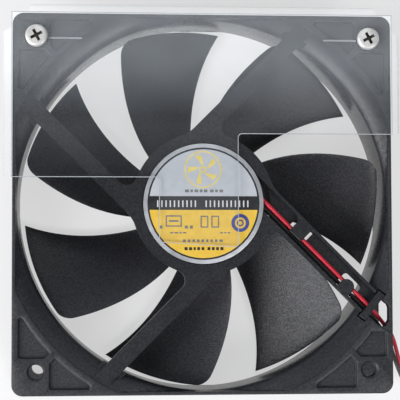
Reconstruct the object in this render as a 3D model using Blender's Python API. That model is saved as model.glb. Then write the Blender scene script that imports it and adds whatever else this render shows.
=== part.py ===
"""A 120 x 120 x 25 mm sleeve-bearing case fan with its two-wire lead and a clear air baffle.

The fan lies on its intake face (z = 0) with the rotor's axis on +Z. The outlet, the struts and the
label face up. Dimensions are in millimetres here; add_piece turns them into metres.
"""

import math

import bmesh
import bpy
from mathutils import Vector

MM = 0.001
GAP = 0.3                      # kept between two pieces that touch on the real fan

# Housing
SIDE = 120.0
DEPTH = 25.0
CORNER_RADIUS = 3.5
FLANGE = 4.0                   # thickness of the corner flanges at both faces
SHELL_RADIUS = 60.6            # outside of the duct between the flanges
THROAT_RADIUS = 58.7
SIDE_WALL = 1.1                # at the middle of each side, where the square cuts the flare
FLARE_REACH = 11.6             # half axes of the flare's ellipse
FLARE_HEIGHT = 4.7
FLARE_START = 4.4              # how far below the face the flare begins
HOLE_SPACING = 105.0
HOLE_RADIUS = 2.25
HOLE_CHAMFER = 0.65
POCKET_DEPTH = 1.2
POCKET_RIM = 58.0              # the outer rim's inner line, from the axis
POCKET_BOSS = 48.3             # the screw boss's edges, from the axis
POCKET_NECK = (49.9, 44.0)     # where the boss joins the ridge: from the axis, and in degrees
POCKET_RADIUS = 67.3           # the duct ridge's outer edge
SHORT_POCKET = 40.6            # where the one beside the lead's hole begins

# Spider: hub plate, struts and cable channel. A strut's own coordinates are "along" its length
# from the foot of the perpendicular from the axis, and "offset" from the axis.
PLATE_RADIUS = 22.6
PLATE_TOP = 24.7
PLATE_BOTTOM = 22.2
RECESS_RADIUS = 19.3
RECESS_FLOOR = 23.9
SKIRT_INNER = 21.5
SKIRT_BOTTOM = 21.2
SOCKET_RADIUS = 6.2
SOCKET_BOTTOM = 15.3
STRUT_INNER = 13.95
STRUT_OUTER = 19.05
STRUT_END = 65.0
FOOT_SIDE = 1.4                # a lower, wider foot where each strut meets the duct's flare
FOOT_START = (57.0, 54.9)      # along its inner and its outer edge
FOOT_END = 63.0
FOOT_TOP = 23.4
STRUT_BOTTOM = 21.4
INNER_FILLET = 3.3
OUTER_FILLET = 10.0
CHANNEL_INNER = 10.9
CHANNEL_OUTER = 19.3
CHANNEL_WALL = 0.9
CHANNEL_BOTTOM = 21.0
CHANNEL_FLOOR = 21.9
CHANNEL_END = 62.0
WINDOW_START = 3.0
CLIP_BOTTOM = 23.9
BAR_CENTRE = (60.65, 15.0)     # the cross-bar lies a little askew, in a slot open on two sides
BAR_TURN = 6.5
BAR_LENGTH = 10.2
BAR_WIDTH = 2.5
BAR_SLOT = 0.45
BAR_SLOT_FLOOR = 22.0
HOOK_ALONG = (25.2, 30.3)
HOOK_TIP = 13.2
HOOK_OPENING = ((24.3, 31.5), (15.0, 18.1))
THUMB_CENTRE = (50.65, 13.5)
THUMB_RADIUS = 2.4
THUMB_OPENING = ((47.5, 54.7), (11.85, 17.0))
OUTLET_START = 61.5

# Impeller
BLADES = 7
HUB_RADIUS = 20.6
HUB_INNER = 19.3
HUB_FACE = 0.5
HUB_FLOOR = 2.3
HUB_TOP = 20.2
HUB_EDGE = 2.8
TIP_RADIUS = 57.4
TIP_CORNER = 3.0
BLADE_ROOT = 19.9
BLADE_LOW = 3.2
BLADE_HIGH = 19.3
BLADE_THICK = 1.5

# Motor
SHAFT_RADIUS = 1.585
SHAFT_FOOT = 2.9
SHAFT_TOP = 23.0
BORE_RADIUS = SHAFT_RADIUS + GAP
TUBE_OUTER = 4.0
TUBE_INNER = 3.0
TUBE_FOOT = 6.1
TUBE_TOP = 23.4
YOKE_OUTER = 19.0
YOKE_WALL = 0.8
YOKE_FOOT = 2.6
YOKE_TOP = 19.5
MAGNET_OUTER = YOKE_OUTER - YOKE_WALL - GAP
MAGNET_INNER = 16.3
MAGNET_SPAN = (7.0, 18.0)
POLES = 4
CORE_SPAN = (9.0, 15.0)
CORE_RADIUS = 15.7
CORE_BORE = TUBE_OUTER + GAP
ARM_HALF = 2.0
ARM_START = 6.0
SHOE_INNER = 13.2
SHOE_HALF_ANGLE = 36.0
INSULATOR_THICK = 1.0
SPOOL_LIP = (12.5, 13.4)       # the insulators' outer lips, and how high they stand
LIP_HEIGHT = 2.5
WINDING_START = 7.3
WINDING_END = 11.4
WINDING_BUILD = 1.8
BOARD_SPAN = (18.8, 20.0)
BOARD_RADIUS = 17.2

# Label, baffle and screws
LABEL_RADIUS = 19.0
LABEL_SPAN = (RECESS_FLOOR + GAP, RECESS_FLOOR + 2 * GAP)
FILM = 0.35
FILM_BOTTOM = DEPTH + GAP
BAFFLE_HALF = 60.3
BAFFLE_LEFT_EDGE = 8.2
BAFFLE_RIGHT_EDGE = 22.0
TONGUE = (-14.1, 11.0, -12.3)
FOLD_OUT = 2.7
SCREW_SHANK = 1.9
SCREW_TIP = 17.0
SCREW_HEAD_RADIUS = 3.5
SCREW_HEAD_HEIGHT = 2.1
SCREW_TURN = 20.0
RECESS_WIDTH = 0.9
RECESS_REACH = 2.0
RECESS_DEPTH = 1.5

# Lead
WIRE = 1.3
WIRE_PITCH = WIRE + GAP
RED_OFFSET = 14.35
WIRE_HEIGHT = CHANNEL_FLOOR + GAP + WIRE / 2
BOARD_HEIGHT = BOARD_SPAN[1] + GAP + WIRE / 2
EXIT_HEIGHT = 19.75
COIL_CENTRE = (84.0, -54.0)
COIL_INNER = 4.3
COIL_OUTER = 10.35
COIL_SPAN = (0.85, 6.0)
TIE_THICK = 0.5
TIE_WIDTH = 2.0
TIE_ANGLE = 205.0
PLUG_BACK = -44.0
PLUG_LENGTH = 10.4
PLUG_PITCH = 2.5
PLUG_RED_X = 95.3
PLUG_HALF_WIDTH = 3.7
PLUG_SPAN = (0.05, 5.85)
CAVITY = 2.0
TERMINAL = 1.3

# The red wire's points, chosen by hand. Held stretch: along, offset, height. Free stretch: x, y, z.
HELD_ROUTE = [
    (4.0, RED_OFFSET, BOARD_HEIGHT),
    (7.0, RED_OFFSET, BOARD_HEIGHT),
    (10.0, RED_OFFSET, 22.0),
    (13.0, RED_OFFSET, WIRE_HEIGHT),
    (16.0, RED_OFFSET, WIRE_HEIGHT),
    (38.0, RED_OFFSET, WIRE_HEIGHT),
    (59.5, RED_OFFSET, WIRE_HEIGHT),
    (61.5, RED_OFFSET, 22.7),
    (63.5, RED_OFFSET, 21.8),
    (65.3, 14.3, 20.75),
    (67.2, 14.2, 19.95),
    (69.0, 14.0, EXIT_HEIGHT),
]
FREE_ROUTE = [
    (58.9, -39.1, 19.7),
    (60.4, -41.2, 19.4),
    (61.7, -43.7, 18.3),
    (63.0, -46.7, 16.0),
    (64.5, -49.9, 12.7),
    (66.1, -53.1, 8.7),
    (67.9, -56.2, 4.8),
    (70.1, -59.1, 2.1),
    (72.7, -61.4, 0.95),
    (75.6, -62.9, 0.75),
    (78.2, -63.5, 0.75),
]
TAIL_ROUTE = [
    (PLUG_RED_X, -55.4, 3.5),
    (PLUG_RED_X, -52.0, 3.45),
    (PLUG_RED_X, -48.0, 3.1),
    (PLUG_RED_X, -44.5, 2.95),
    (PLUG_RED_X, -40.9, 2.95),
]


# ---- scene and materials ------------------------------------------------------------------------

def clear_scene():
    for obj in list(bpy.data.objects):
        bpy.data.objects.remove(obj, do_unlink=True)


def material(name, colour, roughness, metallic=0.0, alpha=1.0):
    found = bpy.data.materials.get(name)
    if found:
        return found
    made = bpy.data.materials.new(name)
    made.use_nodes = True
    shader = made.node_tree.nodes["Principled BSDF"]
    shader.inputs["Base Color"].default_value = (*colour, 1.0)
    shader.inputs["Roughness"].default_value = roughness
    shader.inputs["Metallic"].default_value = metallic
    shader.inputs["Alpha"].default_value = alpha
    return made


def black_plastic():
    return material("black_pbt", (0.030, 0.031, 0.034), 0.55)


def steel():
    return material("steel", (0.62, 0.62, 0.63), 0.30, 1.0)


def brass():
    return material("brass", (0.72, 0.53, 0.24), 0.35, 1.0)


def bronze():
    return material("sintered_bronze", (0.45, 0.27, 0.13), 0.60, 1.0)


def nylon():
    return material("white_nylon", (0.78, 0.77, 0.72), 0.50)


# ---- mesh tools ---------------------------------------------------------------------------------

def arc(centre, radius, start, end, steps):
    """Points on an arc, angles in degrees, both ends included."""
    angles = (math.radians(start + (end - start) * i / steps) for i in range(steps + 1))
    return [(centre[0] + radius * math.cos(a), centre[1] + radius * math.sin(a)) for a in angles]


def lathe(profile, segments=40):
    """A solid turned about Z from a closed outline of (radius, height)."""
    bm = bmesh.new()
    rings = []
    for radius, height in profile:
        if radius < 1e-6:
            rings.append([bm.verts.new((0, 0, height))])
            continue
        turns = (2 * math.pi * i / segments for i in range(segments))
        rings.append([bm.verts.new((radius * math.cos(a), radius * math.sin(a), height)) for a in turns])
    for low, high in zip(rings, rings[1:] + rings[:1]):
        for i in range(segments):
            j = i + 1
            corners = [low[i % len(low)], low[j % len(low)], high[j % len(high)], high[i % len(high)]]
            corners = list(dict.fromkeys(corners))
            if len(corners) > 2:
                bm.faces.new(corners)
    return closed(bm)


def prism(outline, bottom, top):
    """A flat outline of (x, y) raised from one height to another."""
    bm = bmesh.new()
    low = [bm.verts.new((x, y, bottom)) for x, y in outline]
    face = bm.faces.new(low)
    raised = bmesh.ops.extrude_face_region(bm, geom=[face])
    moved = [v for v in raised["geom"] if isinstance(v, bmesh.types.BMVert)]
    bmesh.ops.translate(bm, vec=(0, 0, top - bottom), verts=moved)
    return closed(bm)


def block(x, y, z):
    """A box from three (low, high) pairs."""
    return prism([(x[0], y[0]), (x[1], y[0]), (x[1], y[1]), (x[0], y[1])], *z)


def closed(bm):
    bmesh.ops.recalc_face_normals(bm, faces=bm.faces)
    return bm


def rounded(corners, radius, steps=3):
    """A convex outline, counter-clockwise, with each corner rounded."""
    points = []
    for before, here, after in zip(corners[-1:] + corners[:-1], corners, corners[1:] + corners[:1]):
        here = Vector(here)
        back = (Vector(before) - here).normalized()
        on = (Vector(after) - here).normalized()
        half = back.angle(on) / 2
        centre = here + (back + on).normalized() * (radius / math.sin(half))
        first = math.degrees(math.atan2(*reversed(here + back * (radius / math.tan(half)) - centre)))
        sweep = 180 - 2 * math.degrees(half)
        points += arc(centre, radius, first, first + sweep, steps)
    return points


def placed(bm, turn=0.0, move=(0, 0, 0)):
    """The mesh turned about Z by degrees, then moved."""
    angle = math.radians(turn)
    for vert in bm.verts:
        x, y, z = vert.co
        vert.co = (
            x * math.cos(angle) - y * math.sin(angle) + move[0],
            x * math.sin(angle) + y * math.cos(angle) + move[1],
            z + move[2],
        )
    return bm


def temporary(bm, name):
    mesh = bpy.data.meshes.new(name)
    bm.to_mesh(mesh)
    bm.free()
    obj = bpy.data.objects.new(name, mesh)
    bpy.context.collection.objects.link(obj)
    return obj


def combine(base, tool, operation):
    """The Boolean of two meshes, which are both used up."""
    target = temporary(base, "target")
    cutter = temporary(tool, "cutter")
    modifier = target.modifiers.new("combine", "BOOLEAN")
    modifier.operation = operation
    modifier.solver = "EXACT"
    modifier.object = cutter
    evaluated = target.evaluated_get(bpy.context.evaluated_depsgraph_get())
    bm = bmesh.new()
    bm.from_mesh(evaluated.to_mesh())
    evaluated.to_mesh_clear()
    for obj in (target, cutter):
        mesh = obj.data
        bpy.data.objects.remove(obj)
        bpy.data.meshes.remove(mesh)
    bmesh.ops.remove_doubles(bm, verts=bm.verts, dist=1e-4)
    return closed(bm)


def cut(base, *tools):
    for tool in tools:
        base = combine(base, tool, "DIFFERENCE")
    return base


def join(base, *tools):
    for tool in tools:
        base = combine(base, tool, "UNION")
    return base


def add_piece(name, bm, look, sharp=32.0):
    """One named object, from millimetres to metres."""
    bmesh.ops.scale(bm, vec=(MM, MM, MM), verts=bm.verts)
    mesh = bpy.data.meshes.new(name)
    bm.to_mesh(mesh)
    bm.free()
    mesh.shade_smooth()
    mesh.set_sharp_from_angle(angle=math.radians(sharp))
    mesh.materials.append(look)
    obj = bpy.data.objects.new(name, mesh)
    bpy.context.collection.objects.link(obj)
    return obj


# ---- strut coordinates --------------------------------------------------------------------------

def on_strut(along, offset, strut=0):
    """A point of a strut in x and y. Strut 0 runs to the lower right; the others follow clockwise."""
    angle = math.radians(-45 - 90 * strut)
    side = angle + math.pi / 2
    return (
        along * math.cos(angle) + offset * math.cos(side),
        along * math.sin(angle) + offset * math.sin(side),
    )


def strut_outline(inner, outer, end, strut):
    """A band blended into the round plate: a tight fillet on its inner side, a wide one outside."""
    inner_centre = (math.sqrt((PLATE_RADIUS + INNER_FILLET) ** 2 - (inner - INNER_FILLET) ** 2),
                    inner - INNER_FILLET)
    outer_centre = (math.sqrt((PLATE_RADIUS + OUTER_FILLET) ** 2 - (outer + OUTER_FILLET) ** 2),
                    outer + OUTER_FILLET)
    inner_angle = math.degrees(math.atan2(inner_centre[1], inner_centre[0]))
    outer_angle = math.degrees(math.atan2(outer_centre[1], outer_centre[0]))
    points = arc((0, 0), PLATE_RADIUS - 0.5, outer_angle, inner_angle, 4)
    points += arc(inner_centre, INNER_FILLET, inner_angle + 180, 90, 6)
    points += [(end, inner), (end, outer)]
    points += arc(outer_centre, OUTER_FILLET, 270, outer_angle + 180, 4)
    return [on_strut(a, o, strut) for a, o in points]


def strut_foot(strut):
    inner = STRUT_INNER - FOOT_SIDE
    outer = STRUT_OUTER + FOOT_SIDE
    corners = [(FOOT_START[0], inner), (FOOT_END, inner), (FOOT_END, outer), (FOOT_START[1], outer)]
    return [on_strut(a, o, strut) for a, o in corners]


def channel_block(along, offset, heights):
    corners = [(along[0], offset[0]), (along[1], offset[0]), (along[1], offset[1]), (along[0], offset[1])]
    return prism([on_strut(a, o) for a, o in corners], *heights)


def bar_prism(outline, heights):
    """A prism drawn in the cross-bar's own directions, outwards and lengthways from its middle."""
    turn = math.radians(BAR_TURN)
    return prism([on_strut(BAR_CENTRE[0] + w * math.cos(turn) - t * math.sin(turn),
                           BAR_CENTRE[1] + w * math.sin(turn) + t * math.cos(turn)) for w, t in outline],
                 *heights)


# ---- housing ------------------------------------------------------------------------------------

def flare(face, direction):
    """The duct's outline near one face, from the throat outwards. direction is +1 for the outlet."""
    centre_radius = THROAT_RADIUS + FLARE_REACH
    level = face - direction * FLARE_START
    last = math.degrees(math.asin(FLARE_START / FLARE_HEIGHT))
    points = []
    for i in range(6):
        angle = math.radians(last * i / 5)
        points.append((centre_radius - FLARE_REACH * math.cos(angle),
                       level + direction * FLARE_HEIGHT * math.sin(angle)))
    return points


def duct_cutter():
    """The air duct: a flared tube, cut square where the flare would break through the sides."""
    outlet = flare(DEPTH, 1)
    intake = flare(0, -1)[::-1]
    edge = outlet[-1][0]
    profile = [(0, -1), (edge, -1)] + intake + outlet + [(edge, DEPTH + 1), (0, DEPTH + 1)]
    reach = SIDE / 2 - SIDE_WALL
    return combine(
        lathe(profile, 96), block((-reach, reach), (-reach, reach), (-2, DEPTH + 2)), "INTERSECT")


def corner_relief():
    """Everything outside the duct's shell between the two flanges."""
    span = (FLANGE, DEPTH - FLANGE)
    reach = SIDE / 2 + 5
    outside = block((-reach, reach), (-reach, reach), span)
    shell = lathe([(0, 0), (SHELL_RADIUS, 0), (SHELL_RADIUS, DEPTH), (0, DEPTH)], 96)
    return cut(outside, shell)


def corner_holes():
    for sx in (-1, 1):
        for sy in (-1, 1):
            top = DEPTH + 0.01
            wide = HOLE_RADIUS + HOLE_CHAMFER
            profile = [(0, -1), (HOLE_RADIUS, -1), (HOLE_RADIUS, DEPTH - HOLE_CHAMFER), (wide, top),
                       (wide, DEPTH + 1), (0, DEPTH + 1)]
            centre = (sx * HOLE_SPACING / 2, sy * HOLE_SPACING / 2, 0)
            yield placed(lathe(profile, 16), move=centre)


def corner_pockets():
    """Two shallow three-cornered recesses beside each screw boss, on the outlet face."""
    near = math.degrees(math.acos(POCKET_RIM / POCKET_RADIUS))
    for quarter in range(4):
        for mirrored in (False, True):
            outline = [(POCKET_RIM, POCKET_BOSS), (POCKET_NECK[0], POCKET_BOSS)]
            if quarter == 3 and mirrored:
                start = math.degrees(math.asin(SHORT_POCKET / POCKET_RADIUS))
                outline.insert(0, (POCKET_RIM, SHORT_POCKET))
                outline += arc((0, 0), POCKET_RADIUS, POCKET_NECK[1], start, 5)
            else:
                outline += arc((0, 0), POCKET_RADIUS, POCKET_NECK[1], near, 5)
            if mirrored:
                outline = [(y, x) for x, y in outline]
            tool = prism(outline, DEPTH - POCKET_DEPTH, DEPTH + 1)
            yield placed(tool, turn=90 * quarter)


def lead_outlet():
    """The rounded hole through the flange at the channel's end, where the lead dives out."""
    rim = SIDE / 2 - SIDE_WALL + 0.05
    inner = CHANNEL_INNER + CHANNEL_WALL + 0.1
    outline = [
        on_strut(OUTLET_START, inner),
        on_strut(66.4, inner),
        on_strut(68.3, inner + 1.2),
        (rim, -36.9),
        (rim, -33.0),
        (rim - 0.35, -32.0),
        on_strut(OUTLET_START, CHANNEL_OUTER - CHANNEL_WALL + 0.15),
    ]
    return prism(outline, DEPTH - FLANGE - 1, DEPTH + 1)


def bar_slots():
    """The gap round each end of the cross-bar: along its inner side and across its end."""
    half, side = BAR_LENGTH / 2, BAR_WIDTH / 2
    for way in (-1, 1):
        outline = [(-side - BAR_SLOT, 3.1), (-side + 0.05, 3.1), (-side + 0.05, half - 0.05),
                   (side + 0.1, half - 0.05), (side + 0.1, half + BAR_SLOT), (-side - BAR_SLOT, half + BAR_SLOT)]
        yield bar_prism([(w, t * way) for w, t in outline], (BAR_SLOT_FLOOR, DEPTH + 1))


def hub_plate():
    return lathe([
        (CORE_BORE, RECESS_FLOOR), (RECESS_RADIUS, RECESS_FLOOR), (RECESS_RADIUS, PLATE_TOP),
        (PLATE_RADIUS - 0.4, PLATE_TOP), (PLATE_RADIUS, PLATE_TOP - 0.4), (PLATE_RADIUS, SKIRT_BOTTOM),
        (SKIRT_INNER, SKIRT_BOTTOM), (SKIRT_INNER, PLATE_BOTTOM), (SOCKET_RADIUS, PLATE_BOTTOM),
        (SOCKET_RADIUS, SOCKET_BOTTOM), (CORE_BORE, SOCKET_BOTTOM),
    ], 64)


def spider():
    plate = hub_plate()
    for strut in range(1, 4):
        band = strut_outline(STRUT_INNER, STRUT_OUTER, STRUT_END, strut)
        plate = join(plate, prism(band, STRUT_BOTTOM, PLATE_TOP),
                     prism(strut_foot(strut), STRUT_BOTTOM, FOOT_TOP))
    return join(plate, prism(strut_outline(CHANNEL_INNER, CHANNEL_OUTER, CHANNEL_END, 0),
                             CHANNEL_BOTTOM, PLATE_TOP))


def channel_cutters():
    """The channel with its window into the hub, and the openings in its floor under the clips."""
    inside = (CHANNEL_INNER + CHANNEL_WALL, CHANNEL_OUTER - CHANNEL_WALL)
    yield channel_block((WINDOW_START, CHANNEL_END + 1), inside, (CHANNEL_FLOOR, DEPTH + 1))
    below = (CHANNEL_BOTTOM - 1, CHANNEL_FLOOR + 1)
    yield channel_block(*HOOK_OPENING, below)
    (near, far), (low, high) = THUMB_OPENING
    opening = rounded([(near, low), (far, low), (far, high), (near, high)], 1.2, 3)
    yield prism([on_strut(a, o) for a, o in opening], *below)


def channel_clips():
    """What keeps the wires in the channel: a square hook, a round thumb and a cross-bar."""
    heights = (CLIP_BOTTOM, PLATE_TOP)
    yield channel_block(HOOK_ALONG, (HOOK_TIP, CHANNEL_OUTER - 0.2), heights)
    along, offset = THUMB_CENTRE
    thumb = [(along + THUMB_RADIUS, CHANNEL_INNER + 0.2)]
    thumb += arc(THUMB_CENTRE, THUMB_RADIUS, 0, 180, 10)
    thumb += [(along - THUMB_RADIUS, CHANNEL_INNER + 0.2)]
    yield prism([on_strut(a, o) for a, o in thumb], *heights)
    side, half = BAR_WIDTH / 2, BAR_LENGTH / 2
    yield bar_prism([(-side, -half), (side, -half), (side, half), (-side, half)], heights)


def build_frame():
    square = rounded([(SIDE / 2 * x, SIDE / 2 * y) for x, y in ((-1, -1), (1, -1), (1, 1), (-1, 1))],
                     CORNER_RADIUS, 5)
    frame = cut(prism(square, 0, DEPTH), corner_relief(), duct_cutter())
    frame = join(frame, spider())
    frame = cut(frame, *corner_holes(), *corner_pockets(), *channel_cutters(), lead_outlet(), *bar_slots())
    frame = join(frame, *channel_clips())
    add_piece("fan_frame", frame, black_plastic())


# ---- rotor --------------------------------------------------------------------------------------

def blade_angles(radius):
    """The leading and the trailing edge's angle in degrees at a radius."""
    reach = max(0.0, radius - HUB_RADIUS)
    leading = -57.1 - 0.269 * reach - 0.00295 * reach ** 2
    trailing = -14.0 - 0.717 * reach + 0.00217 * reach ** 2
    beyond = max(0.0, radius - (TIP_RADIUS - TIP_CORNER))
    setback = TIP_CORNER - math.sqrt(max(0.0, TIP_CORNER ** 2 - beyond ** 2))
    return leading, trailing - math.degrees(setback / radius)


def blade(stations=8, steps=7):
    """One blade: a cambered, swept sheet with its root inside the hub's wall."""
    bm = bmesh.new()
    upper, lower = [], []
    for i in range(stations + 1):
        radius = BLADE_ROOT + (TIP_RADIUS - BLADE_ROOT) * math.sin(math.pi / 2 * i / stations)
        leading, trailing = blade_angles(radius)
        chord = math.radians(trailing - leading) * radius
        rise = BLADE_HIGH - BLADE_LOW
        rows = ([], [])
        for j in range(steps + 1):
            s = j / steps
            angle = math.radians(leading + (trailing - leading) * s)
            height = BLADE_LOW + rise * (0.68 * s + 0.32 * s * s)
            slope = rise * (0.68 + 0.64 * s)
            half = BLADE_THICK / 2 * (0.42 + 0.58 * math.sin(math.pi * s) ** 0.8)
            length = math.hypot(chord, slope)
            for row, sign in zip(rows, (1, -1)):
                turn = angle - sign * half * slope / length / radius
                level = height + sign * half * chord / length
                row.append(bm.verts.new((radius * math.cos(turn), radius * math.sin(turn), level)))
        upper.append(rows[0])
        lower.append(rows[1])
    for i in range(stations):
        for j in range(steps):
            bm.faces.new((upper[i][j], upper[i + 1][j], upper[i + 1][j + 1], upper[i][j + 1]))
            bm.faces.new((lower[i][j], lower[i][j + 1], lower[i + 1][j + 1], lower[i + 1][j]))
        for j in (0, steps):
            bm.faces.new((upper[i][j], lower[i][j], lower[i + 1][j], upper[i + 1][j]))
    for j in range(steps):
        for i in (0, stations):
            bm.faces.new((upper[i][j], upper[i][j + 1], lower[i][j + 1], lower[i][j]))
    return closed(bm)


def build_impeller():
    corner = arc((HUB_RADIUS - HUB_EDGE, HUB_FACE + HUB_EDGE), HUB_EDGE, 270, 360, 5)
    profile = [(0, HUB_FACE)] + corner
    profile += [(HUB_RADIUS, HUB_TOP), (HUB_INNER, HUB_TOP), (HUB_INNER, HUB_FLOOR), (0, HUB_FLOOR)]
    impeller = lathe(profile, 70)
    for i in range(BLADES):
        impeller = join(impeller, placed(blade(), turn=360 * i / BLADES))
    add_piece("impeller", impeller, black_plastic())


def build_yoke():
    inner = YOKE_OUTER - YOKE_WALL
    floor = YOKE_FOOT + YOKE_WALL
    hole = 3.5
    add_piece("rotor_yoke", lathe([
        (hole, YOKE_FOOT), (YOKE_OUTER - 1, YOKE_FOOT), (YOKE_OUTER, YOKE_FOOT + 1), (YOKE_OUTER, YOKE_TOP),
        (inner, YOKE_TOP), (inner, floor + 0.6), (inner - 0.6, floor), (hole, floor)]), steel())


def build_magnet():
    low, high = MAGNET_SPAN
    ferrite = material("ferrite_rubber", (0.06, 0.055, 0.05), 0.75)
    add_piece("magnet_ring", lathe([
        (MAGNET_INNER, low), (MAGNET_OUTER, low), (MAGNET_OUTER, high), (MAGNET_INNER, high)]), ferrite)


def build_shaft():
    groove = (21.5, 22.4)
    neck = 1.15
    add_piece("shaft", lathe([
        (0, SHAFT_FOOT), (SHAFT_RADIUS - 0.3, SHAFT_FOOT), (SHAFT_RADIUS, SHAFT_FOOT + 0.3),
        (SHAFT_RADIUS, groove[0]), (neck, groove[0]), (neck, groove[1]), (SHAFT_RADIUS, groove[1]),
        (SHAFT_RADIUS, SHAFT_TOP - 0.3), (SHAFT_RADIUS - 0.4, SHAFT_TOP), (0, SHAFT_TOP)], 24), steel())
    add_piece("shaft_boss", lathe([
        (BORE_RADIUS, YOKE_FOOT + GAP), (3.2, YOKE_FOOT + GAP), (3.2, 3.7), (5.0, 3.7), (5.0, 5.0),
        (4.5, 5.5), (BORE_RADIUS, 5.5)], 36), brass())
    clip = cut(lathe([(neck + GAP, 21.8), (2.6, 21.8), (2.6, 22.1), (neck + GAP, 22.1)], 32),
               block((0, 4), (-0.35, 0.35), (21, 23)))
    add_piece("retaining_clip", clip, steel())


def collar(name, low, high, outer, look):
    add_piece(name, lathe([(BORE_RADIUS, low), (outer, low), (outer, high), (BORE_RADIUS, high)], 32), look)


def build_small_rings():
    outer = TUBE_INNER - GAP
    rubber = material("seal_rubber", (0.02, 0.02, 0.02), 0.8)
    collar("oil_slinger", 6.6, 7.4, outer - 0.1, rubber)
    collar("thrust_washer_lower", 7.7, 8.0, outer, nylon())
    collar("thrust_washer_upper", 21.2, 21.5, outer, nylon())


# ---- stator -------------------------------------------------------------------------------------

def build_bearing():
    add_piece("bearing_tube", lathe([
        (TUBE_INNER, TUBE_FOOT), (TUBE_OUTER, TUBE_FOOT), (TUBE_OUTER, TUBE_TOP), (TUBE_INNER, TUBE_TOP)],
        36), brass())
    outer = TUBE_INNER - GAP
    low, high = 8.3, 20.9
    add_piece("sleeve_bearing", lathe([
        (BORE_RADIUS, low), (outer - 0.3, low), (outer, low + 0.3), (outer, high - 0.3),
        (outer - 0.3, high), (BORE_RADIUS, high)], 32), bronze())


def shoe(inner, outer, half_angle, heights):
    points = arc((0, 0), outer, -half_angle, half_angle, 8)
    points += arc((0, 0), inner, half_angle, -half_angle, 8)
    return prism(points, *heights)


def poles(ring, arm_span, shoe_radii, half_angle, heights, arm_heights):
    """A centre ring with an arm and a curved shoe for each pole."""
    core = lathe([(ring[0], heights[0]), (ring[1], heights[0]), (ring[1], heights[1]),
                  (ring[0], heights[1])], 40)
    for pole in range(POLES):
        arm = block(arm_span, (-ARM_HALF, ARM_HALF), arm_heights)
        core = join(core, placed(arm, turn=90 * pole))
        core = join(core, placed(shoe(*shoe_radii, half_angle, heights), turn=90 * pole))
    return core


def build_stator():
    laminations = material("lamination_steel", (0.35, 0.35, 0.36), 0.45, 1.0)
    core = poles((CORE_BORE, 6.6), (ARM_START, SHOE_INNER + 0.5), (SHOE_INNER, CORE_RADIUS),
                 SHOE_HALF_ANGLE, CORE_SPAN, CORE_SPAN)
    add_piece("stator_core", core, laminations)

    ivory = material("insulator_nylon", (0.70, 0.68, 0.58), 0.55)
    ring = (SOCKET_RADIUS + GAP, WINDING_START - GAP)
    sides = (
        ("insulator_upper", CORE_SPAN[1] + GAP, 1),
        ("insulator_lower", CORE_SPAN[0] - GAP, -1),
    )
    for name, face, up in sides:
        plate = sorted((face, face + up * INSULATOR_THICK))
        lip = sorted((face, face + up * LIP_HEIGHT))
        arms = (ring[0] + 0.25, SPOOL_LIP[0] + 0.5)
        add_piece(name, poles(ring, arms, SPOOL_LIP, 28, lip, plate), ivory)


def build_windings():
    copper = material("enamelled_copper", (0.50, 0.16, 0.05), 0.35, 0.9)
    low = CORE_SPAN[0] - GAP - INSULATOR_THICK - GAP
    high = CORE_SPAN[1] + GAP + INSULATOR_THICK + GAP
    half = ARM_HALF + GAP
    build = WINDING_BUILD
    for pole in range(POLES):
        outside = block((WINDING_START, WINDING_END), (-half - build, half + build),
                        (low - build, high + build))
        bmesh.ops.bevel(outside, geom=[e for e in outside.edges if is_radial(e)], offset=1.2, segments=3,
                        affect="EDGES")
        inside = block((WINDING_START - 1, WINDING_END + 1), (-half, half), (low, high))
        add_piece(f"coil_winding_{pole + 1}", placed(cut(outside, inside), turn=90 * pole), copper)


def is_radial(edge):
    a, b = (v.co for v in edge.verts)
    return abs(a.x - b.x) > 1


def build_pins():
    """Three pins carry the windings' ends from the upper insulator up through the board."""
    foot = CORE_SPAN[1] + 2 * GAP + LIP_HEIGHT
    for number, angle in enumerate(pin_angles()):
        pin = block((pin_radius() - 0.3, pin_radius() + 0.3), (-0.3, 0.3), (foot, BOARD_SPAN[1] + 0.8))
        add_piece(f"winding_pin_{number + 1}", placed(pin, turn=angle), brass())


def pin_angles():
    return (90, 180, 270)


def pin_radius():
    return sum(SPOOL_LIP) / 2


def build_board():
    low, high = BOARD_SPAN
    hole = SOCKET_RADIUS + 0.4
    green = material("circuit_board", (0.55, 0.40, 0.18), 0.6)
    board = lathe([(hole, low), (BOARD_RADIUS, low), (BOARD_RADIUS, high), (hole, high)], 60)
    for angle in pin_angles():
        drill = lathe([(0, low - 1), (0.75, low - 1), (0.75, high + 1), (0, high + 1)], 12)
        spot = (pin_radius() * math.cos(math.radians(angle)), pin_radius() * math.sin(math.radians(angle)), 0)
        board = cut(board, placed(drill, move=spot))
    add_piece("circuit_board", board, green)

    black = material("chip_epoxy", (0.02, 0.02, 0.02), 0.4)
    on_top = high + GAP
    parts = (
        ("driver_chip", 215, 11.5, (4.0, 3.0, 1.2), on_top, black),
        ("capacitor", 130, 11.5, (3.2, 1.6, 1.3), on_top, material("chip_tan", (0.5, 0.35, 0.2), 0.5)),
        ("diode", 155, 13.5, (3.4, 1.6, 1.1), on_top, black),
        ("resistor", 245, 13.5, (2.0, 1.25, 0.6), on_top, black),
        ("hall_sensor", 225, 14.4, (1.6, 3.0, 1.2), low - GAP - 1.2, black),
    )
    for name, angle, radius, (length, width, height), foot, look in parts:
        body = block((radius - length / 2, radius + length / 2), (-width / 2, width / 2),
                     (foot, foot + height))
        bmesh.ops.bevel(body, geom=[e for e in body.edges], offset=0.12, segments=1, affect="EDGES")
        add_piece(name, placed(body, turn=angle), look)


# ---- label, baffle and screws -------------------------------------------------------------------

def build_label():
    low, high = LABEL_SPAN
    foil = material("label_foil", (0.62, 0.55, 0.30), 0.35)
    add_piece("hub_label", lathe([(0, low), (LABEL_RADIUS, low), (LABEL_RADIUS, high), (0, high)], 64), foil)


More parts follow.
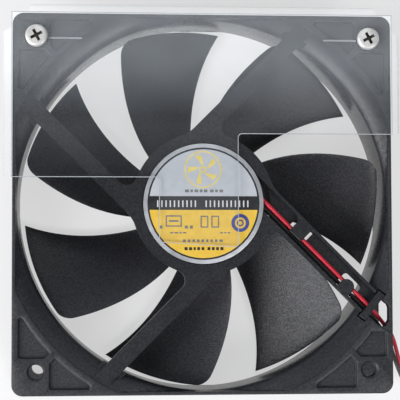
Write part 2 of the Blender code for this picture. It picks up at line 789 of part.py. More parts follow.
def baffle_outline():
    half = BAFFLE_HALF
    left, right, foot = TONGUE
    soft = 1.2
    points = [(-half, BAFFLE_LEFT_EDGE), (left - soft, BAFFLE_LEFT_EDGE)]
    points += arc((left - soft, BAFFLE_LEFT_EDGE - soft), soft, 90, 0, 3)[1:]
    points += arc((left + soft, foot + soft), soft, 180, 270, 3)
    points += arc((right - soft, foot - 1.5 + soft), soft, 270, 360, 3)
    points += arc((right + soft, BAFFLE_RIGHT_EDGE - soft), soft, 180, 90, 3)
    points += [(half, BAFFLE_RIGHT_EDGE), (half, half), (-half, half)]
    return points


def lip(start, end, outward):
    """A strip folded down 45 degrees along the line from start to end, its ends slightly tapered."""
    top = FILM_BOTTOM + FILM
    out = Vector((*outward, 0)) * FOLD_OUT
    in_a_bit = Vector((*outward, 0)) * -0.1
    thick = FILM * math.sqrt(2)
    a, b = Vector((*start, 0)), Vector((*end, 0))
    taper = (b - a).normalized() * 0.5
    bm = bmesh.new()
    section = []
    for base, shift in ((a, taper), (b, -taper)):
        corners = [
            base + in_a_bit + Vector((0, 0, top)),
            base + Vector((0, 0, top)),
            base + out + shift + Vector((0, 0, top - FOLD_OUT)),
            base + out + shift + Vector((0, 0, top - FOLD_OUT - thick)),
            base + Vector((0, 0, top - thick)),
            base + in_a_bit + Vector((0, 0, FILM_BOTTOM)),
        ]
        section.append([bm.verts.new(c) for c in corners])
    first, last = section
    bm.faces.new(first)
    bm.faces.new(last)
    for i in range(6):
        j = (i + 1) % 6
        bm.faces.new((first[i], first[j], last[j], last[i]))
    return closed(bm)


def build_baffle():
    film = material("clear_film", (0.75, 0.78, 0.80), 0.12, alpha=0.35)
    half = BAFFLE_HALF
    sheet = prism(baffle_outline(), FILM_BOTTOM, FILM_BOTTOM + FILM)
    sheet = join(
        sheet,
        lip((-half, BAFFLE_LEFT_EDGE + 0.1), (-half, 55.0), (-1, 0)),
        lip((half, BAFFLE_RIGHT_EDGE + 0.1), (half, 54.5), (1, 0)),
        lip((-55.0, half), (55.5, half), (0, 1)),
    )
    hole = SCREW_SHANK + 0.4
    for side in (-1, 1):
        drill = lathe([(0, DEPTH - 1), (hole, DEPTH - 1), (hole, DEPTH + 2), (0, DEPTH + 2)], 24)
        centre = (side * HOLE_SPACING / 2, HOLE_SPACING / 2, 0)
        slit = block(sorted((side * 38.5, side * 48.5)), (51.7, 52.2), (DEPTH - 1, DEPTH + 2))
        sheet = cut(sheet, placed(drill, move=centre), slit)
    add_piece("air_baffle", sheet, film)


def build_screws():
    """Pan-head self-tapping screws with a cross recess, through the baffle into the upper holes."""
    seat = FILM_BOTTOM + FILM + GAP
    top = seat + SCREW_HEAD_HEIGHT
    head = SCREW_HEAD_RADIUS
    shank = SCREW_SHANK
    profile = [(0, SCREW_TIP), (shank - 0.9, SCREW_TIP), (shank, SCREW_TIP + 1.4), (shank, seat),
               (head, seat), (head, seat + 0.7)]
    profile += [(head - 0.35, seat + 1.3), (head - 1.1, seat + 1.75), (head - 2.1, top - 0.06), (0, top)]
    for name, side in (("baffle_screw_left", -1), ("baffle_screw_right", 1)):
        screw = lathe(profile, 28)
        for turn in (0, 90):
            slot = prism([(-RECESS_REACH, -RECESS_WIDTH / 2), (RECESS_REACH, -RECESS_WIDTH / 2),
                          (RECESS_REACH, RECESS_WIDTH / 2), (-RECESS_REACH, RECESS_WIDTH / 2)],
                         top - RECESS_DEPTH, top + 1)
            for vert in slot.verts:
                if vert.co.z < top:
                    vert.co.x *= 0.35
            screw = cut(screw, placed(slot, turn=SCREW_TURN + turn))
        centre = (side * HOLE_SPACING / 2, HOLE_SPACING / 2, 0)
        add_piece(name, placed(screw, move=centre), steel())


# ---- lead ---------------------------------------------------------------------------------------

def smooth(route, step):
    """Points about a step apart on a Catmull-Rom curve through the route."""
    knots = [Vector(p) for p in route]
    knots = [2 * knots[0] - knots[1]] + knots + [2 * knots[-1] - knots[-2]]
    points = []
    for p0, p1, p2, p3 in zip(knots, knots[1:], knots[2:], knots[3:]):
        count = max(1, round((p2 - p1).length / step))
        for i in range(count):
            t = i / count
            points.append(0.5 * (2 * p1 + (p2 - p0) * t + (2 * p0 - 5 * p1 + 4 * p2 - p3) * t ** 2
                                 + (3 * p1 - p0 - 3 * p2 + p3) * t ** 3))
    return points + [knots[-2]]


def beside(points, start, end, pitches):
    """The other wire: pitch away, on the right-hand side at 0 degrees and above at 90."""
    other = []
    last = len(points) - 1
    for i, point in enumerate(points):
        ahead = points[min(i + 1, last)] - points[max(i - 1, 0)]
        side = Vector((ahead.y, -ahead.x, 0)).normalized()
        lift = side.cross(ahead).normalized()
        share = i / last
        ease = share * share * (3 - 2 * share)
        turn = math.radians(start + (end - start) * ease)
        pitch = pitches[0] + (pitches[1] - pitches[0]) * ease
        other.append(point + pitch * (math.cos(turn) * side + math.sin(turn) * lift))
    return other


def wire(name, points, look):
    curve = bpy.data.curves.new(name, "CURVE")
    curve.dimensions = "3D"
    curve.bevel_depth = WIRE / 2 * MM
    curve.bevel_resolution = 2
    curve.use_fill_caps = True
    spline = curve.splines.new("POLY")
    spline.points.add(len(points) - 1)
    for spot, point in zip(spline.points, points):
        spot.co = (*(point * MM), 1.0)
    curve.materials.append(look)
    bpy.context.collection.objects.link(bpy.data.objects.new(name, curve))


def build_lead():
    red = material("red_pvc", (0.62, 0.03, 0.05), 0.45)
    black = material("black_pvc", (0.02, 0.02, 0.022), 0.45)
    held = smooth([(*on_strut(a, o), z) for a, o, z in HELD_ROUTE], 3.0)
    free = smooth(FREE_ROUTE, 2.8)
    tail = smooth(TAIL_ROUTE, 2.0)
    wire("lead_red_held", held, red)
    wire("lead_black_held", beside(held, 0, 0, (WIRE_PITCH, WIRE_PITCH)), black)
    wire("lead_red", free, red)
    wire("lead_black", beside(free, 0, 90, (WIRE_PITCH, WIRE_PITCH)), black)
    wire("lead_red_tail", tail, red)
    wire("lead_black_tail", beside(tail, 90, 0, (WIRE_PITCH, PLUG_PITCH)), black)
    coil = lathe([(COIL_INNER, COIL_SPAN[0] + 0.8), (COIL_INNER + 0.8, COIL_SPAN[0]),
                  (COIL_OUTER - 0.8, COIL_SPAN[0]), (COIL_OUTER, COIL_SPAN[0] + 0.8),
                  (COIL_OUTER, COIL_SPAN[1] - 0.8), (COIL_OUTER - 0.8, COIL_SPAN[1]),
                  (COIL_INNER + 0.8, COIL_SPAN[1]), (COIL_INNER, COIL_SPAN[1] - 0.8)], 40)
    add_piece("lead_coil", placed(coil, move=(*COIL_CENTRE, 0)), red)


def build_tie():
    """A flat band once around the coil's bundle."""
    inside = (COIL_INNER - GAP, COIL_OUTER + GAP)
    heights = (COIL_SPAN[0] - GAP, COIL_SPAN[1] + GAP)
    width = (-TIE_WIDTH / 2, TIE_WIDTH / 2)
    outside = block((inside[0] - TIE_THICK, inside[1] + TIE_THICK), width,
                    (heights[0] - TIE_THICK, heights[1] + TIE_THICK))
    band = cut(outside, block(inside, (width[0] - 1, width[1] + 1), heights))
    look = material("tie_nylon", (0.70, 0.70, 0.68), 0.5)
    add_piece("coil_tie", placed(band, turn=TIE_ANGLE, move=(*COIL_CENTRE, 0)), look)


def build_plug():
    red_x, black_x = PLUG_RED_X, PLUG_RED_X + PLUG_PITCH
    middle_x = (red_x + black_x) / 2
    middle_z = sum(PLUG_SPAN) / 2
    front = PLUG_BACK + PLUG_LENGTH
    body = block((middle_x - PLUG_HALF_WIDTH, middle_x + PLUG_HALF_WIDTH), (PLUG_BACK, front), PLUG_SPAN)
    bmesh.ops.bevel(body, geom=[e for e in body.edges], offset=0.3, segments=1, affect="EDGES")
    ribs = [block((middle_x + x - 0.5, middle_x + x + 0.5), (PLUG_BACK + 2.5, front - 0.6),
                  (PLUG_SPAN[1] - 0.2, PLUG_SPAN[1] + 0.6)) for x in (-2.2, 2.2)]
    body = join(body, *ribs)
    half = CAVITY / 2
    for x in (red_x, black_x):
        body = cut(body, block((x - half, x + half), (PLUG_BACK - 1, front + 1),
                               (middle_z - half, middle_z + half)))
        body = cut(body, block((x - 0.6, x + 0.6), (front - 4.2, front - 2.6), (-1, middle_z)))
    add_piece("connector_housing", body, nylon())

    tin = material("tinned_brass", (0.75, 0.74, 0.70), 0.3, 1.0)
    half = TERMINAL / 2
    for name, x in (("crimp_terminal_red", red_x), ("crimp_terminal_black", black_x)):
        barrel = block((x - half, x + half), (TAIL_ROUTE[-1][1] + GAP, front - 0.5),
                       (middle_z - half, middle_z + half))
        socket = block((x - 0.35, x + 0.35), (front - 4.5, front + 1), (middle_z - 0.35, middle_z + 0.35))
        add_piece(name, cut(barrel, socket), tin)


# ---- the whole fan ------------------------------------------------------------------------------

def main():
    clear_scene()
    build_frame()
    build_impeller()
    build_yoke()
    build_magnet()
    build_shaft()
    build_small_rings()
    build_bearing()
    build_stator()
    build_windings()
    build_pins()
    build_board()
    build_label()
    build_baffle()
    build_screws()
    build_lead()
    build_tie()
    build_plug()


main()
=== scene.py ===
"""A 120 mm case fan with a clear air baffle on its outlet side and a short two-wire lead."""
from math import atan2, cos, degrees, dist, hypot, pi, radians, sin, sqrt, tan

import bmesh
import bpy
from mathutils import Matrix, Vector


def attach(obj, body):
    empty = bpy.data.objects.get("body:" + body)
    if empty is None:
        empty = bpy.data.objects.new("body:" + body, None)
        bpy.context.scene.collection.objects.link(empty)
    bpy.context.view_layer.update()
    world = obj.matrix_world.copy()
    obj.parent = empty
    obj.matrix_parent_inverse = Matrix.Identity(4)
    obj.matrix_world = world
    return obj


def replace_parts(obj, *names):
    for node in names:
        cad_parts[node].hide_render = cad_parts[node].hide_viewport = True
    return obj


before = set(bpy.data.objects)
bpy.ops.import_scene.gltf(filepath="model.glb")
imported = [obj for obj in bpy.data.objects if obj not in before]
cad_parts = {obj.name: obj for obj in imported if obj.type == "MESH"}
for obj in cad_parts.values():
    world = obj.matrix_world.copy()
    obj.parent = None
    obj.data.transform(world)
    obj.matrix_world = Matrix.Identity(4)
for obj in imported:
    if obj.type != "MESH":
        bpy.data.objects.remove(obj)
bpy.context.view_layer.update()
MM = 0.001

# Millimetres, as the CAD has them.
HALF_WIDTH, DEPTH = 60.0, 25.0
CORNER_RADIUS = 3.5
HOLE = 52.5
DUCT_OUTSIDE = 60.6
FLARE_HALF, FLARE_MOUTH = 58.9, 64.8
PLATE_RADIUS, SPIDER_TOP = 22.6, 24.7
STRUT_IN, STRUT_OUT = 13.95, 19.05
CHANNEL = (11.8, 18.4)
BAR_CENTRE = (60.65, 15.0)
BAR_TURN = radians(6.5)
BAR_HALF = (1.25, 5.1)
HUB_RADIUS = 20.6
BLADES = 7
BLADE_ROOT, BLADE_TIP = 19.9, 57.4
BLADE_LOW, BLADE_HIGH = 3.2, 19.3
BLADE_THICKNESS, BLADE_CORNER = 1.5, 3.0
BLADE_GRID = (22, 26)
LABEL_RADIUS = 19.0
FILM_BOTTOM, FILM = 25.3, 0.35

# The two wires, side by side in the channel, one above the other in the coil, and apart at the plug.
WIRE = 1.3
RED_OFFSET = 14.35
PITCH, STACKED, PLUG_PITCH = 1.6, 1.42, 2.5
COIL = Vector((84.0, -54.0, 0.0))
TIE_ANGLE = 205

# Metres, and a linear colour, for the materials.
COARSE_GRAIN_DEPTH = 0.00013
FINE_GRAIN_DEPTH = 0.00003
SCRATCH_DEPTH = 0.00002
DUST_GREY = (0.16, 0.16, 0.155)


# ---- small helpers ----

def on_strut(along, offset, strut=0):
    """A point along a strut and off to its side; strut 0 holds the wires, the rest follow clockwise."""
    angle = radians(-45 - 90 * strut)
    side = angle + pi / 2
    return (along * cos(angle) + offset * cos(side),
            along * sin(angle) + offset * sin(side))


def laid(outline, strut=0):
    """An outline in x and y from one given along a strut and off to its side."""
    return [on_strut(along, offset, strut) for along, offset in outline]


def on_bar(out, length):
    """A point in the wire channel's cross-bar's own directions, from its middle."""
    return on_strut(BAR_CENTRE[0] + out * cos(BAR_TURN) - length * sin(BAR_TURN),
                    BAR_CENTRE[1] + out * sin(BAR_TURN) + length * cos(BAR_TURN))


def arc(centre, radius, start, end, steps):
    """Points round a circle from one angle to another, in degrees."""
    points = []
    for i in range(steps + 1):
        a = radians(start + (end - start) * i / steps)
        points.append((centre[0] + radius * cos(a), centre[1] + radius * sin(a)))
    return points


def rectangle(x0, x1, y0, y1):
    return [(x0, y0), (x1, y0), (x1, y1), (x0, y1)]


def eased(share):
    """A share from 0 to 1 that starts and ends gently."""
    return share * share * (3 - 2 * share)


def linked(name, data):
    obj = bpy.data.objects.new(name, data)
    bpy.context.collection.objects.link(obj)
    return obj


def mesh_object(name, bm, look=None):
    """A new object from a shape in metres, which is used up."""
    mesh = bpy.data.meshes.new(name)
    bm.to_mesh(mesh)
    bm.free()
    if look:
        mesh.materials.append(look)
    return linked(name, mesh)


def to_metres(bm):
    bmesh.ops.scale(bm, vec=(MM, MM, MM), verts=bm.verts)
    bmesh.ops.recalc_face_normals(bm, faces=bm.faces)
    return bm


def shade(obj, angle=32.0):
    """Smooth shading, with a hard edge where faces meet at more than an angle in degrees."""
    obj.data.shade_smooth()
    obj.data.set_sharp_from_angle(angle=radians(angle))


def piece(name, bm, look, body="housing", sharp=35.0):
    """An object from a shape in millimetres, riding on a body; without a sharp angle it stays flat."""
    obj = mesh_object(name, to_metres(bm), look)
    if sharp:
        shade(obj, sharp)
    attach(obj, body)
    return obj


def soften(obj, width, angle=30.0):
    """Rounds edges by a width in millimetres where they turn by more than an angle in degrees."""
    edges = obj.modifiers.new("edges", "BEVEL")
    edges.width = width * MM
    edges.segments = 2
    edges.limit_method = "ANGLE"
    edges.angle_limit = radians(angle)
    edges.use_clamp_overlap = True
    edges.miter_outer = "MITER_ARC"
    normals = obj.modifiers.new("normals", "WEIGHTED_NORMAL")
    normals.keep_sharp = True


def level(bm, outline, z):
    return [bm.verts.new((x, y, z)) for x, y in outline]


def stitch(bm, a, b):
    """Faces between two rings of corners, where a ring of one corner is a pole."""
    count = max(len(a), len(b))
    if count == 1:
        return
    for i in range(count):
        j = (i + 1) % count
        if len(a) == 1:
            bm.faces.new((a[0], b[j], b[i]))
        elif len(b) == 1:
            bm.faces.new((a[i], a[j], b[0]))
        else:
            bm.faces.new((a[i], a[j], b[j], b[i]))


def turned(profile, segments=96):
    """A solid turned about Z from the closed outline of its (radius, height) points."""
    bm = bmesh.new()
    rings = []
    for radius, z in profile:
        corners = segments if radius > 1e-6 else 1
        rings.append([bm.verts.new((radius * cos(2 * pi * i / segments),
                                    radius * sin(2 * pi * i / segments), z))
                      for i in range(corners)])
    for a, b in zip(rings, rings[1:] + rings[:1]):
        stitch(bm, a, b)
    return bm


def slab(outline, low, high, bm=None):
    """A flat plate from an outline in x and y, added to bm."""
    bm = bm or bmesh.new()
    bottom = level(bm, outline, low)
    top = level(bm, outline, high)
    bm.faces.new(bottom[::-1])
    bm.faces.new(top)
    stitch(bm, bottom, top)
    return bm


def moved(bm, turn=0.0, shift=(0, 0, 0)):
    """A shape turned about Z by degrees, then shifted."""
    bm.transform(Matrix.Translation(shift) @ Matrix.Rotation(radians(turn), 4, "Z"))
    return bm


# ---- materials ----

class Nodes:
    """A short way to write a node tree."""

    def __init__(self, tree):
        self.tree = tree

    def feed(self, socket, value):
        """Links another node's output to a socket, or sets a plain value on it."""
        if isinstance(value, bpy.types.NodeSocket):
            self.tree.links.new(value, socket)
        else:
            socket.default_value = value

    def add(self, kind, inputs=None, **settings):
        node = self.tree.nodes.new(kind)
        for key, setting in settings.items():
            setattr(node, key, setting)
        for spot, value in (inputs or {}).items():
            self.feed(node.inputs[spot], value)
        return node

    def spread(self, source, low, high, start=0.3, end=0.7):
        """A value that goes from low to high while its source goes from start to end."""
        return self.add("ShaderNodeMapRange", {
            "From Min": start, "From Max": end, "To Min": low, "To Max": high, "Value": source,
        }).outputs["Result"]


class Surface(Nodes):
    """A material in the object's own coordinates."""

    def __init__(self, name):
        self.mat = bpy.data.materials.new(name)
        self.mat.use_nodes = True
        super().__init__(self.mat.node_tree)
        self.shader = self.tree.nodes["Principled BSDF"]
        self.coords = self.add("ShaderNodeTexCoord").outputs["Object"]

    def noise(self, scale, detail=3.0, rough=0.5, stretch=None):
        source = self.coords
        if stretch:
            source = self.add("ShaderNodeMapping", {"Scale": stretch, "Vector": source}).outputs["Vector"]
        return self.add("ShaderNodeTexNoise", {
            "Scale": scale, "Detail": detail, "Roughness": rough, "Vector": source,
        }).outputs["Fac"]

    def ramp(self, source, low, high, start=0.3, end=0.7):
        """A colour that goes from low to high while its source goes from start to end."""
        node = self.add("ShaderNodeValToRGB", {"Fac": source})
        for stop, place, colour in zip(node.color_ramp.elements, (start, end), (low, high)):
            stop.position = place
            stop.color = (*colour, 1.0)
        return node.outputs["Color"]

    def mix(self, factor, a, b, mode="MIX"):
        a, b = (c if isinstance(c, bpy.types.NodeSocket) else (*c, 1.0) for c in (a, b))
        node = self.add("ShaderNodeMix", {0: factor, 6: a, 7: b}, data_type="RGBA", blend_type=mode)
        return node.outputs[2]

    def maths(self, operation, a, b):
        return self.add("ShaderNodeMath", {0: a, 1: b}, operation=operation).outputs[0]

    def bump(self, source, strength, distance, below=None):
        inputs = {"Strength": strength, "Distance": distance, "Height": source}
        if below:
            inputs["Normal"] = below
        return self.add("ShaderNodeBump", inputs).outputs["Normal"]

    def finish(self, colour, rough, normal=None, **fixed):
        """The finished material. Other sockets are set by name, with _ for a space."""
        for socket, value in (("Base Color", colour), ("Roughness", rough), ("Normal", normal)):
            if value is not None:
                self.feed(self.shader.inputs[socket], value)
        for key, value in fixed.items():
            self.shader.inputs[key.replace("_", " ")].default_value = value
        return self.mat


def moulded_plastic(name, dark, light, rough, grain, grain_size=2600.0, specks=0.5, ior=1.46):
    """Satin injection moulding: an eroded grain, cloudy flow, faint rubbed streaks and dust."""
    n = Surface(name)
    cloud = n.noise(35.0, 4.0, 0.55)
    base = n.ramp(cloud, dark, light)
    dust = n.noise(5200.0, 1.0, 0.4)
    patches = n.noise(60.0, 3.0, 0.6)
    dusty = n.maths("MULTIPLY", n.spread(dust, 0.0, 1.0, 0.70, 0.78),
                    n.spread(patches, 0.0, specks, 0.45, 0.7))
    colour = n.mix(dusty, base, DUST_GREY)
    fine = n.noise(grain_size, 2.0, 0.6)
    coarse = n.noise(grain_size * 0.55, 2.0, 0.6)
    sand = n.ramp(coarse, (0.55, 0.55, 0.55), (1.1, 1.1, 1.1), 0.36, 0.64)
    colour = n.mix(min(1.0, grain * 1.3), colour, sand, "MULTIPLY")
    streak = n.noise(900.0, 2.0, 0.5, stretch=(0.12, 1.0, 1.0))
    rubbed = n.maths("ADD", n.spread(cloud, rough - 0.05, rough + 0.05), n.spread(streak, -0.03, 0.04))
    rubbed = n.maths("ADD", rubbed, n.spread(dusty, 0.0, 0.25, 0.0, 1.0))
    glints = n.spread(coarse, 0.38, 0.60, 0.38, 0.62)
    n.feed(n.shader.inputs["Specular IOR Level"], glints)
    normal = n.bump(coarse, grain, COARSE_GRAIN_DEPTH)
    normal = n.bump(fine, grain, FINE_GRAIN_DEPTH, normal)
    return n.finish(colour, rubbed, normal, IOR=ior)


def plated_metal(name, tint, rough, scratch=0.12, metallic=1.0):
    """Metal with a mottled tone, an uneven polish and fine brushing."""
    n = Surface(name)
    tone = n.noise(700.0, 3.0, 0.55)
    colour = n.ramp(tone, tuple(0.8 * c for c in tint), tint)
    fine = n.noise(6000.0, 2.0, 0.5, stretch=(1.0, 0.2, 1.0))
    rough_map = n.spread(n.noise(1800.0, 3.0, 0.6), rough - 0.06, rough + 0.10)
    return n.finish(colour, rough_map, n.bump(fine, scratch, SCRATCH_DEPTH), Metallic=metallic)


def sleeve_pvc(name, dark, light, rough):
    """Wire insulation: extruded along its length, slightly cloudy, with handling marks."""
    n = Surface(name)
    colour = n.ramp(n.noise(260.0, 3.0, 0.5), dark, light)
    marks = n.noise(2400.0, 2.0, 0.5)
    return n.finish(colour, n.spread(marks, rough - 0.05, rough + 0.09),
                    n.bump(marks, 0.15, FINE_GRAIN_DEPTH), IOR=1.52)


def printed(name, base, flecks, rough, metallic=0.0):
    """Ink or foil on a label: faint mottle, a fine screen and slightly uneven gloss."""
    n = Surface(name)
    mottle = n.noise(420.0, 4.0, 0.6)
    colour = n.ramp(mottle, base, flecks, 0.3, 0.72)
    screen = n.noise(7000.0, 2.0, 0.5)
    return n.finish(colour, n.spread(mottle, rough - 0.05, rough + 0.07),
                    n.bump(screen, 0.10, SCRATCH_DEPTH), Metallic=metallic, IOR=1.5)


def nylon_like(name, dark, light, rough):
    """Plain moulded or pressed stuff with a faint mottle and a fine grain."""
    n = Surface(name)
    colour = n.ramp(n.noise(320.0, 3.0, 0.5), dark, light)
    grain = n.noise(3800.0, 2.0, 0.5)
    return n.finish(colour, n.spread(grain, rough - 0.04, rough + 0.06),
                    n.bump(grain, 0.15, FINE_GRAIN_DEPTH))


def clear_sheet(name):
    """Clear polyester: a milky veil that thickens up the sheet, partly real haziness and partly painted
    reflection; rubs, long scratches and gloss at a slant.
    """
    n = Surface(name)
    rubs = n.noise(130.0, 4.0, 0.6)
    lines = n.noise(700.0, 1.0, 0.4, stretch=(0.02, 1.0, 1.0))
    scratch = n.maths("MULTIPLY", n.spread(lines, 0.0, 1.0, 0.735, 0.75), 0.02)
    height = n.add("ShaderNodeSeparateXYZ", {0: n.coords}).outputs["Y"]
    # The veil thickens towards the top of the sheet and over its tongue: partly real haziness, partly a
    # painted reflection.
    low = n.spread(height, 0.004, 0.016, 0.010, 0.024)
    upper_haze_and_reflection = n.spread(height, 0.0, 0.040, 0.028, 0.046)
    tongue = n.spread(height, 0.012, 0.0, 0.003, 0.0085)
    haze_and_reflection = n.maths("ADD", n.maths("ADD", low, upper_haze_and_reflection), tongue)
    haze_and_reflection = n.maths("MULTIPLY", haze_and_reflection, n.spread(rubs, 0.85, 1.15))
    veil_and_reflection_colour = n.mix(n.maths("ADD", haze_and_reflection, scratch), (0.0, 0.0, 0.0), (0.84, 0.92, 1.0))
    see = n.add("ShaderNodeBsdfTransparent", {"Color": (0.995, 0.997, 0.997, 1.0)})
    veil = n.add("ShaderNodeBsdfDiffuse", {"Color": veil_and_reflection_colour})
    wave = n.bump(n.noise(9.0, 0.0, 0.4), 0.04, 0.0004)
    gloss = n.add("ShaderNodeBsdfGlossy", {"Roughness": 0.13, "Normal": wave})
    slant = n.add("ShaderNodeLayerWeight", {"Blend": 0.5})
    mirror = n.maths("POWER", slant.outputs["Facing"], 5.0)
    mirror = n.maths("ADD", n.maths("MULTIPLY", mirror, 0.9), 0.018)
    body = n.add("ShaderNodeAddShader", {0: see.outputs[0], 1: veil.outputs[0]})
    full = n.add("ShaderNodeMixShader", {0: mirror, 1: body.outputs[0], 2: gloss.outputs[0]})
    n.tree.nodes.remove(n.shader)
    n.feed(n.tree.nodes["Material Output"].inputs["Surface"], full.outputs[0])
    return n.mat


def film_edge_highlight(name):
    """The sawn and folded edges of the clear sheet and a thin strip along them on top: a light grey that
    is partly the edges' own scatter and partly a painted highlight.
    """
    n = Surface(name)
    ticks = n.noise(1500.0, 3.0, 0.6)
    colour = n.ramp(ticks, (0.30, 0.32, 0.34), (0.42, 0.44, 0.46))
    return n.finish(colour, n.spread(ticks, 0.25, 0.45), n.bump(ticks, 0.3, 0.00004), IOR=1.5)


FRAME_BLACK = moulded_plastic("frame_black", (0.017, 0.0173, 0.021), (0.0235, 0.0239, 0.028), 0.47, 0.40)
SPIDER_BLACK = moulded_plastic("spider_black", (0.0055, 0.0058, 0.0085), (0.009, 0.0094, 0.0125), 0.48,
                               0.34)
# The flare of the duct mouth and the inner wall of the duct are the frame's plastic made darker: partly a
# smoother finish, partly painted shade.
FLARE_PAINTED_SHADE = moulded_plastic("flare_black_painted_shade", (0.009, 0.0093, 0.013), (0.0135, 0.0138, 0.018), 0.40, 0.22)
WALL_PAINTED_SHADE = moulded_plastic("duct_black_painted_shade", (0.008, 0.0083, 0.0105), (0.012, 0.0124, 0.0145), 0.26, 0.12,
                             ior=1.40)
ROTOR_BLACK = moulded_plastic("rotor_black", (0.0125, 0.0128, 0.0165), (0.018, 0.0183, 0.023), 0.43, 0.85,
                              grain_size=3400.0, specks=0.35)
STEEL = plated_metal("plated_steel", (0.78, 0.77, 0.74), 0.24)
SCREW_ZINC = plated_metal("matt_zinc_plate", (0.68, 0.675, 0.66), 0.36, 0.3, 0.40)
# A dark brown metal for the screws' cross recesses: painted shade in the recess.
RECESS_PAINTED_SHADE = plated_metal("driver_recess_painted_shade", (0.10, 0.085, 0.07), 0.50, 0.4, 0.6)
BRIGHT_STEEL = plated_metal("ground_steel", (0.66, 0.66, 0.67), 0.16)
BRASS = plated_metal("turned_brass", (0.80, 0.58, 0.26), 0.26)
BRONZE = plated_metal("porous_bronze", (0.50, 0.30, 0.15), 0.55, 0.5)
TIN = plated_metal("tin", (0.80, 0.80, 0.78), 0.28)
COPPER = plated_metal("enamelled_copper", (0.72, 0.26, 0.09), 0.30)
LAMINATE = plated_metal("silicon_steel", (0.36, 0.37, 0.40), 0.42)
RED = sleeve_pvc("red_pvc", (0.46, 0.012, 0.030), (0.60, 0.020, 0.045), 0.34)
BLACK = sleeve_pvc("black_pvc", (0.010, 0.010, 0.011), (0.017, 0.017, 0.018), 0.22)
FILM_CLEAR = clear_sheet("clear_polyester")
FILM_EDGE_HIGHLIGHT = film_edge_highlight("cut_polyester_painted_highlight")
IVORY = nylon_like("ivory_nylon", (0.62, 0.59, 0.48), (0.70, 0.67, 0.56), 0.45)
WHITE = nylon_like("natural_nylon", (0.70, 0.69, 0.64), (0.80, 0.79, 0.75), 0.38)
FERRITE = nylon_like("ferrite_rubber", (0.035, 0.033, 0.031), (0.060, 0.056, 0.052), 0.7)
RUBBER = nylon_like("seal_rubber", (0.012, 0.012, 0.012), (0.022, 0.022, 0.022), 0.7)
EPOXY = nylon_like("chip_epoxy", (0.012, 0.012, 0.013), (0.022, 0.022, 0.023), 0.4)
CERAMIC = nylon_like("chip_ceramic", (0.34, 0.22, 0.12), (0.42, 0.28, 0.16), 0.45)
BOARD = nylon_like("paper_board", (0.30, 0.19, 0.07), (0.40, 0.26, 0.11), 0.5)


# ---- camera and lead ----

def make_camera():
    data = bpy.data.cameras.new("camera")
    data.lens = 120.58
    data.sensor_width = 36.0
    data.shift_x = 0.0233
    data.shift_y = 0.0216
    data.clip_start = 0.01
    camera = linked("camera", data)
    camera.location = (-0.034, -0.022, 0.445)
    camera.rotation_euler = (radians(2.78), radians(-4.06), radians(-0.14))
    bpy.context.scene.camera = camera


def smooth(route, step=0.8):
    """A curve through every point of a route, cut into steps of about one length."""
    knots = [Vector(p) for p in route]
    knots = [2 * knots[0] - knots[1]] + knots + [2 * knots[-1] - knots[-2]]
    points = []
    for p0, p1, p2, p3 in zip(knots, knots[1:], knots[2:], knots[3:]):
        count = max(1, round((p2 - p1).length / step))
        for i in range(count):
            t = i / count
            points.append(0.5 * (2 * p1 + (p2 - p0) * t + (2 * p0 - 5 * p1 + 4 * p2 - p3) * t ** 2
                                 + (3 * p1 - p0 - 3 * p2 + p3) * t ** 3))
    return points + [knots[-2]]


def beside(points, turns, pitches):
    """The other wire: a pitch away, on the right-hand side at 0 degrees and above at 90."""
    other = []
    last = len(points) - 1
    for i, point in enumerate(points):
        ahead = points[min(i + 1, last)] - points[max(i - 1, 0)]
        side = Vector((ahead.y, -ahead.x, 0)).normalized()
        lift = side.cross(ahead).normalized()
        share = eased(i / last)
        turn = radians(turns[0] + (turns[1] - turns[0]) * share)
        pitch = pitches[0] + (pitches[1] - pitches[0]) * share
        other.append(point + pitch * (cos(turn) * side + sin(turn) * lift))
    return other


def wire(name, points, look):
    curve = bpy.data.curves.new(name, "CURVE")
    curve.dimensions = "3D"
    curve.bevel_depth = WIRE / 2 * MM
    curve.bevel_resolution = 5
    curve.use_fill_caps = True
    spline = curve.splines.new("POLY")
    spline.points.add(len(points) - 1)
    for spot, point in zip(spline.points, points):
        spot.co = (*(point * MM), 1.0)
    spline.use_smooth = True
    curve.materials.append(look)
    obj = linked(name, curve)
    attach(obj, "housing")
    return obj


def length_of(points):
    return sum((b - a).length for a, b in zip(points, points[1:])) * MM


def coil_route():
    """Red's flat spiral from outside to inside, then up and across the turns to the way out."""
    turns, outer, inner, way_out = 3.25, 9.6, 5.05, 11.3
    bed, climb = 0.72, 2.83
    steps_per_turn = 36
    points = []
    steps = round(turns * steps_per_turn)
    for i in range(1, steps + 1):
        share = i / steps
        points.append((-90 + 360 * turns * share, outer + (inner - outer) * share, bed))
    for i in range(1, steps_per_turn + 1):
        share = i / steps_per_turn
        up = eased(min(1.0, share / 0.42))
        out = eased(max(0.0, (share - 0.36) / 0.64))
        points.append((360 * share, inner + (way_out - inner) * out, bed + climb * up))
    result = []
    for angle, radius, z in points:
        near_tie = max(0.0, 1 - abs((angle - TIE_ANGLE + 180) % 360 - 180) / 26)
        z += 0.42 * eased(near_tie)
        a = radians(angle)
        result.append(COIL + Vector((radius * cos(a), radius * sin(a), z)))
    return result


